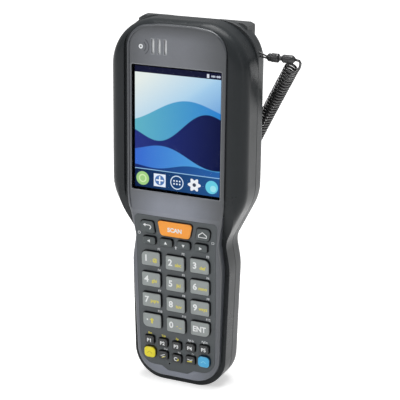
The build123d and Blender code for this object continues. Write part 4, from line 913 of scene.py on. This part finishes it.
# The two upper keys, the scan key and the arrows
SIDE_KEY_X = 17.8
SIDE_KEY_UP = 99.0
SCAN_KEY_UP = 99.3
ARROW_UP = 90.8
hook = stroke([(1.9, -1.1), *arc(1.15, -70, 90, 9, 1.3, 0.25), (-1.2, 1.4)], 0.55)
hook_head = flat_form([(-2.6, 1.4), (-1.0, 2.5), (-1.0, 0.3)])
white_on("back", -SIDE_KEY_X, SIDE_KEY_UP, hook, hook_head, rise=UPPER_RISE)
house = stroke([(-2.5, -0.1), (0, 1.7), (2.5, -0.1), (2.5, -1.4), (-2.5, -1.4)], 0.6, closed=True)
white_on("home", SIDE_KEY_X, SIDE_KEY_UP, house, rise=UPPER_RISE)
white_on("scan", 0, SCAN_KEY_UP, lettering("SCAN", 2.6, swell=0.14), rise=UPPER_RISE)
for key, x, quarter in (("left", -16.6, 1), ("up", -5.7, 0), ("down", 5.7, 2), ("right", 16.6, 3)):
    pointer = flat_form([(-0.95, -0.75), (0.95, -0.75), (0, 1.1)])
    pointer.transform(Matrix.Rotation(quarter * math.pi / 2, 4, "Z"))
    white_on(key, x, ARROW_UP, pointer)

# The P row, which rises to its ends
SMALL_PITCH_X = 9.0
P_ROW_UP = 26.2
P_ROW_DIP = 1.1
for index, label in enumerate(("Esc", "Tab", "Sp", "PgUp", "PgDn")):
    spot = index - 2
    up = P_ROW_UP - P_ROW_DIP * (1 - abs(spot) / 2)
    white_on(f"p{index + 1}", spot * SMALL_PITCH_X, up, lettering(f"P{index + 1}", 2.3, swell=0.1))
    small = lettering(label, 1.35, widest=5.6, swell=0.06)
    on_panel(small, spot * SMALL_PITCH_X, up + 4.0, warm_marks if index < 3 else panel_marks)

# The three small keys, and the coloured ones beside them
LOW_ROW_UP = 18.1
LOW_ROW_DIP = 1.4
CURL_SHIFT = (-0.2, 0.1)
small_whites = (
    stroke([(1.3, 1.0), (-1.5, 0.0), (1.3, -0.6)], 0.55),
    stroke(arc(1.05, 30, 300, 12), 0.55),
    stroke([(-1.6, 0.9), (0.2, 0.4), (1.7, 0.9)], 0.5),
)
small_yellows = (
    stroke([(-0.6, -1.3), (1.7, -0.1)], 0.45),
    flat_form([(0.2, -1.4), (1.8, -0.3), (1.2, 0.8)]),
    stroke([(-1.7, -0.6), (1.5, -0.3)], 0.6),
)
for index, (key, label) in enumerate((("fn_a", "Del"), ("fn_b", "Ins"), ("fn_c", "Fn"))):
    spot = index - 1
    x = spot * SMALL_PITCH_X
    up = LOW_ROW_UP - LOW_ROW_DIP * (1 - abs(spot) / 2)
    on_panel(lettering(label, 1.2, swell=0.05), x + 1.2, up + 3.75)
    aside, above = CURL_SHIFT if key == "fn_b" else (0, 0)
    white_on(key, x + aside, up + above, small_whites[index])
    yellow_on(key, x, up, small_yellows[index])

cyan_light = ink("cyan_light", tone(126, 208, 240), 0.4)
amber_dark = ink("amber_dark", tone(206, 186, 20), 0.4)
for cap, x, colour in (("blue", SIDE_KEY_X, cyan_light), ("yellow", -SIDE_KEY_X, amber_dark)):
    chevron = stroke([(-1.6, -0.6), (0, 0.7), (1.6, -0.6)], 0.55)
    spot = face_point(x, LOW_ROW_UP, KEY_RISE)
    print_on(f"mark_{cap}", f"key_{cap}", colour, [(chevron, spot)])

on_panel(stroke(arc(0.75, 0, 342, 20), 0.35, closed=True), -23.7, 94.4)
on_panel(stroke([(-0.7, -0.5), (0.7, -0.5), (0.7, 0.6), (-0.7, 0.6)], 0.35, closed=True), 23.7, 94.4)
on_panel(arrow(-0.9, 1.1, 0.3, 0.8, 0.1), 0, 88.0)
print_on("panel_marks", "housing", grey_print, panel_marks)
print_on("panel_marks_warm", "housing", yellow_print, warm_marks)

# Sound arcs beside the status light
FASCIA_FACE = 1.0
arc_spot = place(LIGHT_SPOT[0] + 0.4, FASCIA_FACE, LIGHT_SPOT[1])
arc_marks = [(stroke(arc(radius, -60, 60), 0.42), arc_spot) for radius in (2.9, 4.7)]
print_on("light_arcs", "housing", shade_print, arc_marks, FRONT_TURN)

# ---------- webbing

# Woven cloth on a map in metres. Pitch is the width of one thread.
THREAD_HEIGHT = 0.18 * MM
weave, weave_in, weave_out = new_group(
    "woven_threads", Pitch=0.0009, Dark=(0.01, 0.01, 0.01, 1), Light=(0.05, 0.05, 0.05, 1), Depth=0.7
)
weave_u, weave_v = (calc(weave, "DIVIDE", axis, weave_in["Pitch"]) for axis in axes(weave, "UV")[:2])


def rounds(count):
    """Height over a thread, from 0 at its edges to 1 along its middle."""
    return calc(weave, "ABSOLUTE", calc(weave, "SINE", calc(weave, "MULTIPLY", count, math.pi)))


weave_sum = calc(weave, "ADD", calc(weave, "FLOOR", weave_u), calc(weave, "FLOOR", weave_v))
weave_odd = calc(weave, "MULTIPLY", calc(weave, "FRACT", calc(weave, "MULTIPLY", weave_sum, 0.5)), 2.0)
warp_up = calc(weave, "MULTIPLY", rounds(weave_u), weave_odd)
weft_up = calc(weave, "MULTIPLY", rounds(weave_v), calc(weave, "SUBTRACT", 1.0, weave_odd))
weave_height = calc(weave, "ADD", warp_up, weft_up)
weave_mix = calc(weave, "MULTIPLY", weave_height, calc(weave, "ADD", noise(weave, 5200.0), 0.3))
weave_colour = blend_colours(weave, weave_mix, weave_in["Dark"], weave_in["Light"])
weave_rough = calc(weave, "SUBTRACT", 0.95, calc(weave, "MULTIPLY", weave_height, 0.25))
weave_normal = bump(weave, weave_height, weave_in["Depth"], THREAD_HEIGHT)
feed(weave_out, {"Colour": weave_colour, "Roughness": weave_rough, "Normal": weave_normal})


def woven(name, dark, light, pitch, depth):
    """Webbing material from the weave group."""
    inputs = {"Pitch": pitch * MM, "Dark": dark, "Light": light, "Depth": depth}
    return grouped(name, weave, inputs, {"Sheen Weight": 0.2})


strap_webbing = woven("strap_webbing", tone(14, 15, 16), tone(84, 87, 90), 1.3, 0.7)
pad_cloth = woven("pad_cloth", tone(20, 21, 22), tone(60, 62, 65), 0.9, 0.4)
elastic_cloth = woven("elastic_cloth", tone(12, 13, 14), tone(70, 72, 75), 1.0, 0.9)
thread = moulded("stitch_thread", tone(150, 153, 156), 0.6, depth=0.2, coarse=9000.0)

WEB_ROW = 1.3


def side_run(controls):
    """Smooth line of the side view from (depth, height) control points."""
    return Run(centre_points([place(0, depth, z) for depth, z in controls], 10))


def web(run, width, thickness, x=0.0):
    """Bmesh of flat webbing along a run of the side view, with a map of its width and length in metres."""
    build = bmesh.new()
    rows = max(6, round(run.length / (WEB_ROW * MM)))
    bmesh.ops.create_grid(build, x_segments=6, y_segments=rows, size=0.5)
    cloth = build.loops.layers.uv.new("cloth")
    for face in build.faces:
        for loop in face.loops:
            loop[cloth].uv = (loop.vert.co.x * width * MM, (loop.vert.co.y + 0.5) * run.length)
    for vert in build.verts:
        aside = (x + vert.co.x * width) * MM
        spot, along = run.at((vert.co.y + 0.5) * run.length)
        out = Vector((0, along.z, -along.y))
        vert.co = spot + ACROSS * aside - out * thickness / 2 * MM
    build.normal_update()
    bmesh.ops.solidify(build, geom=build.faces[:], thickness=thickness * MM)
    corner = math.radians(60)
    sharp = [edge for edge in build.edges if len(edge.link_faces) == 2 and edge.calc_face_angle(0) > corner]
    bmesh.ops.bevel(
        build, geom=sharp, offset=0.3 * thickness * MM, segments=2, affect="EDGES", profile=0.5, material=-1
    )
    return build


BAR_DEPTH = 38.1
STRAP_DEPTH = 46.45
WEB_THICKNESS = 1.2
LAYER_OUT = WEB_THICKNESS / 2 + 0.03
WRAP_R = 2.25
STRAP_ENDS = ((16.0, 40.0), (125.0, 106.0))
STRAP_LEGS = ((17, LAYER_OUT), (9.5, LAYER_OUT), (4.6, 1.3))
WRAP_TURNS = (22.5, 67.5, 112.5, 157.5)


def strap_frame(bar_z, bend_z):
    """One bar's middle, and the directions along the strap's end and outwards, as (depth, height)."""
    bar = Vector((BAR_DEPTH, bar_z))
    along = (Vector((STRAP_DEPTH, bend_z)) - bar).normalized()
    return bar, along, Vector((abs(along.y), -along.x * (1 if bend_z > bar_z else -1)))


def strap_end(bar_z, bend_z):
    """Control points of the webbing round one bar, from its sewn end inside to where it leaves outside."""
    bar, along, out = strap_frame(bar_z, bend_z)
    spots = [bar + along * reach - out * layer for reach, layer in STRAP_LEGS]
    corner = WRAP_R / math.cos(math.radians(WRAP_TURNS[0]))
    for turn in WRAP_TURNS:
        swing = math.radians(turn)
        spots.append(bar - out * corner * math.cos(swing) - along * corner * math.sin(swing))
    spots += [bar + along * reach + out * layer for reach, layer in STRAP_LEGS[::-1]]
    return [(spot.x, spot.y) for spot in spots]


(low_bar_z, low_bend_z), (top_bar_z, top_bend_z) = STRAP_ENDS
strap_line = strap_end(low_bar_z, low_bend_z)
strap_line += [(STRAP_DEPTH + LAYER_OUT, z) for z in (low_bend_z, low_bend_z + 8, top_bend_z - 8, top_bend_z)]
strap_line += strap_end(top_bar_z, top_bend_z)[::-1]
strap_build = web(side_run(strap_line), 26.0, WEB_THICKNESS)
strap = made_piece("strap_web", strap_build, strap_webbing, "housing")
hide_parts("hand_strap")
pad_run = side_run([(STRAP_DEPTH - LAYER_OUT, z) for z in (44.0, 73.0, 102.0)])
pad = made_piece("strap_pad", web(pad_run, 24.0, WEB_THICKNESS), pad_cloth, "housing")

THREAD_SIZE = (0.22, 0.16)
SEWN_BOX = ((-10.5, 10.0), (10.5, 10.0), (10.5, 16.0), (-10.5, 16.0))
STITCH_PITCH = 2.6


def stitched(name, spots, length):
    """Row of sewn threads, each lying along a direction on a surface with a normal."""
    build = bmesh.new()
    endwise = Matrix.Rotation(math.pi / 2, 4, "Y")
    wide, tall = THREAD_SIZE
    for spot, along, out in spots:
        size = (along * length / 2 * MM, along.cross(out) * wide * MM, out * tall * MM)
        lie = Matrix.Translation(spot) @ Matrix(size).transposed().to_4x4() @ endwise
        bmesh.ops.create_uvsphere(build, u_segments=8, v_segments=5, radius=1.0, matrix=lie)
    made_piece(name, build, thread, "housing")


def sewn_box(bar_z, bend_z):
    """Threads of a sewn box with a cross, over the doubled webbing next to a bar."""
    _, flat_along, flat_out = strap_frame(bar_z, bend_z)
    along = Vector((0, *flat_along))
    out = Vector((0, *flat_out))
    face = place(0, BAR_DEPTH, bar_z) + out * (WEB_THICKNESS + 0.05) * MM
    corners = [ACROSS * x + along * up for x, up in SEWN_BOX]
    sides = list(zip(corners, corners[1:] + corners[:1]))
    spots = []
    for start, end in [*sides, (corners[0], corners[2]), (corners[1], corners[3])]:
        leg = end - start
        count = max(2, round(leg.length / STITCH_PITCH))
        middles = [start + leg * (index + 0.5) / count for index in range(count)]
        spots += [(face + middle * MM, leg.normalized(), out) for middle in middles]
    return spots


stitched("strap_stitching", [spot for ends in STRAP_ENDS for spot in sewn_box(*ends)], 1.9)

# Elastic sleeve for the stylus, sewn to the strap by its wings
STYLUS_X = 8.6
STYLUS_DEPTH = 51.78
SLEEVE_LOW_Z = 48.0
SLEEVE_LENGTH = 32.0
SLEEVE_IN_R = 3.12
SLEEVE_MAP_R = 3.8
WING_DEPTH = 48.1
half_sleeve = [(0.0, 3.55), (0.25, 3.9), (0.8, 3.98), (2.0, 3.86), (8.0, 3.78)]
sleeve_profile = [*half_sleeve, (SLEEVE_LENGTH / 2, 3.74)]
sleeve_profile += [(SLEEVE_LENGTH - up, radius) for up, radius in half_sleeve[::-1]]
sleeve_profile += [(SLEEVE_LENGTH, SLEEVE_IN_R), (0.0, SLEEVE_IN_R), half_sleeve[0]]
sleeve_foot = place(STYLUS_X, STYLUS_DEPTH, SLEEVE_LOW_Z)
sleeve_build = turned(sleeve_profile, sleeve_foot, UP, ACROSS, steps=32)
sleeve_map = sleeve_build.loops.layers.uv.new("cloth")
for face in sleeve_build.faces:
    away = [loop.vert.co - sleeve_foot for loop in face.loops]
    turns = [math.atan2(reach.y, reach.x) for reach in away]
    if max(turns) - min(turns) > math.pi:
        turns = [turn + 2 * math.pi if turn < 0 else turn for turn in turns]
    for loop, turn in zip(face.loops, turns):
        loop[sleeve_map].uv = (turn * SLEEVE_MAP_R * MM, loop.vert.co.z)
sleeve = made_piece("elastic_sleeve", sleeve_build, elastic_cloth, "housing")
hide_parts("stylus_sleeve")
wing_run = side_run([(WING_DEPTH, z) for z in (48.4, 64.0, 79.6)])
made_piece("sleeve_wing_left", web(wing_run, 5.0, 0.7, x=4.9), elastic_cloth, "housing")
made_piece("sleeve_wing_right", web(wing_run, 2.9, 0.7, x=11.3), elastic_cloth, "housing")
SEAM_Z = [50.5 + count * 2.7 for count in range(11)]
seams = [(place(x, WING_DEPTH + 0.4, z), UP, OUT_BACK) for x in (3.4, 12.2) for z in SEAM_Z]
stitched("wing_stitching", seams, 1.8)

# ---------- tether

LEAD_ROUTE = [place(62.8, 22.7, 201.6), place(66.2, 22.7, 201.6)]
LEAD_DROP = 3.0 * MM
STRAIGHT_END = (3.4 * MM, 1.8 * MM, 0.0)
COIL_SPOTS = ((60.6, 24.6, 196.9), (44.3, 38.0, 171.5), (30.0, 47.4, 147.0), (20.5, 52.2, 131.0))
COIL_SPOTS += ((13.5, 53.0, 119.5), (8.6, 52.4, 109.0), (8.6, 51.9, 98.5))
COIL_ROUTE = [place(*spot) for spot in COIL_SPOTS]
coil_axis = Run(centre_points(COIL_ROUTE, 40))
start_point, start_run = coil_axis.at(0)
outwards = (ACROSS - start_run * start_run.x).normalized()
wound_r = COIL_R - CORD_R
lead_end = start_point + outwards * wound_r
cord_route = [*LEAD_ROUTE, lead_end - start_run * LEAD_DROP]
steps = round(coil_axis.length / COIL_PITCH) * COIL_STEPS
side = outwards.copy()
previous = start_run
for count in range(steps + 1):
    distance = coil_axis.length * count / steps
    spot, run = coil_axis.at(min(distance, coil_axis.length - WELD))
    side = (previous.rotation_difference(run) @ side).normalized()
    previous = run
    spin = Matrix.Rotation(2 * math.pi * count / COIL_STEPS, 3, run)
    if coil_axis.length - distance > COIL_TAIL:
        cord_route.append(spot + (spin @ side) * wound_r)
cord_route += [coil_axis.at(coil_axis.length - reach)[0] for reach in STRAIGHT_END]

cord_line = centre_points(cord_route, 2)
cord_build = gathered([curve_mesh(cord_route, CORD_R, fineness=2)])
tether = new_piece("tether_cord", cord_build, cord_rubber)
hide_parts("tether_lead", "tether_coil")
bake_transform(tether)

# ---------- stage and light

FLOOR_HALF_WIDTH = 6.0
stage_white, stage_tree, stage_shader = new_material("stage_white")
stage_path = node(stage_tree, "ShaderNodeLightPath", {}).outputs
seen = calc(stage_tree, "MAXIMUM", stage_path["Is Camera Ray"], stage_path["Is Glossy Ray"])
seen = calc(stage_tree, "MAXIMUM", seen, stage_path["Is Transmission Ray"])
stage_reach = vectors(stage_tree, "LENGTH", where(stage_tree))["Value"]
stage_level = ramp(stage_tree, stage_reach, 0.15, 1.1, ends=(0.5, 0.9))
stage_glow = calc(stage_tree, "MULTIPLY", seen, stage_level)
feed(stage_shader, {"Base Color": (0.86, 0.86, 0.86, 1), "Roughness": 1.0, "Specular IOR Level": 0.0})
feed(stage_shader, {"Emission Color": (1, 1, 1, 1), "Emission Strength": stage_glow})

floor_build = bmesh.new()
bmesh.ops.create_grid(floor_build, x_segments=1, y_segments=1, size=FLOOR_HALF_WIDTH)
floor = linked("stage_floor", mesh_of(floor_build, "stage_floor"))
floor.data.materials.append(stage_white)

world = bpy.data.worlds.new("studio")
bpy.context.scene.world = world
world.use_nodes = True
sky_tree = world.node_tree
sky_path = node(sky_tree, "ShaderNodeLightPath", {}).outputs
sky_seen = calc(sky_tree, "MAXIMUM", sky_path["Is Camera Ray"], sky_path["Is Transmission Ray"])
sky_level = calc(sky_tree, "ADD", calc(sky_tree, "MULTIPLY", sky_seen, 0.7), 0.3)
feed(sky_tree.nodes["Background"], {"Color": (1, 1, 1, 1), "Strength": sky_level})

LAMP_AIM = Vector((0, 0, 0.12))
for name, spot, width, tall, power in (
    ("key_lamp", (-0.55, -0.95, 0.95), 0.6, 0.6, 5.6),
    ("side_lamp", (0.95, -0.35, 0.35), 0.05, 0.9, 0.8),
    ("top_lamp", (0.04, 0.08, 1.0), 0.7, 0.45, 9.0),
):
    lamp_data = bpy.data.lights.new(name, "AREA")
    lamp_data.shape = "RECTANGLE"
    lamp_data.size = width
    lamp_data.size_y = tall
    lamp_data.energy = power
    facing = (LAMP_AIM - Vector(spot)).to_track_quat("-Z", "Y").to_matrix().to_4x4()
    linked(name, lamp_data).matrix_world = Matrix.Translation(spot) @ facing
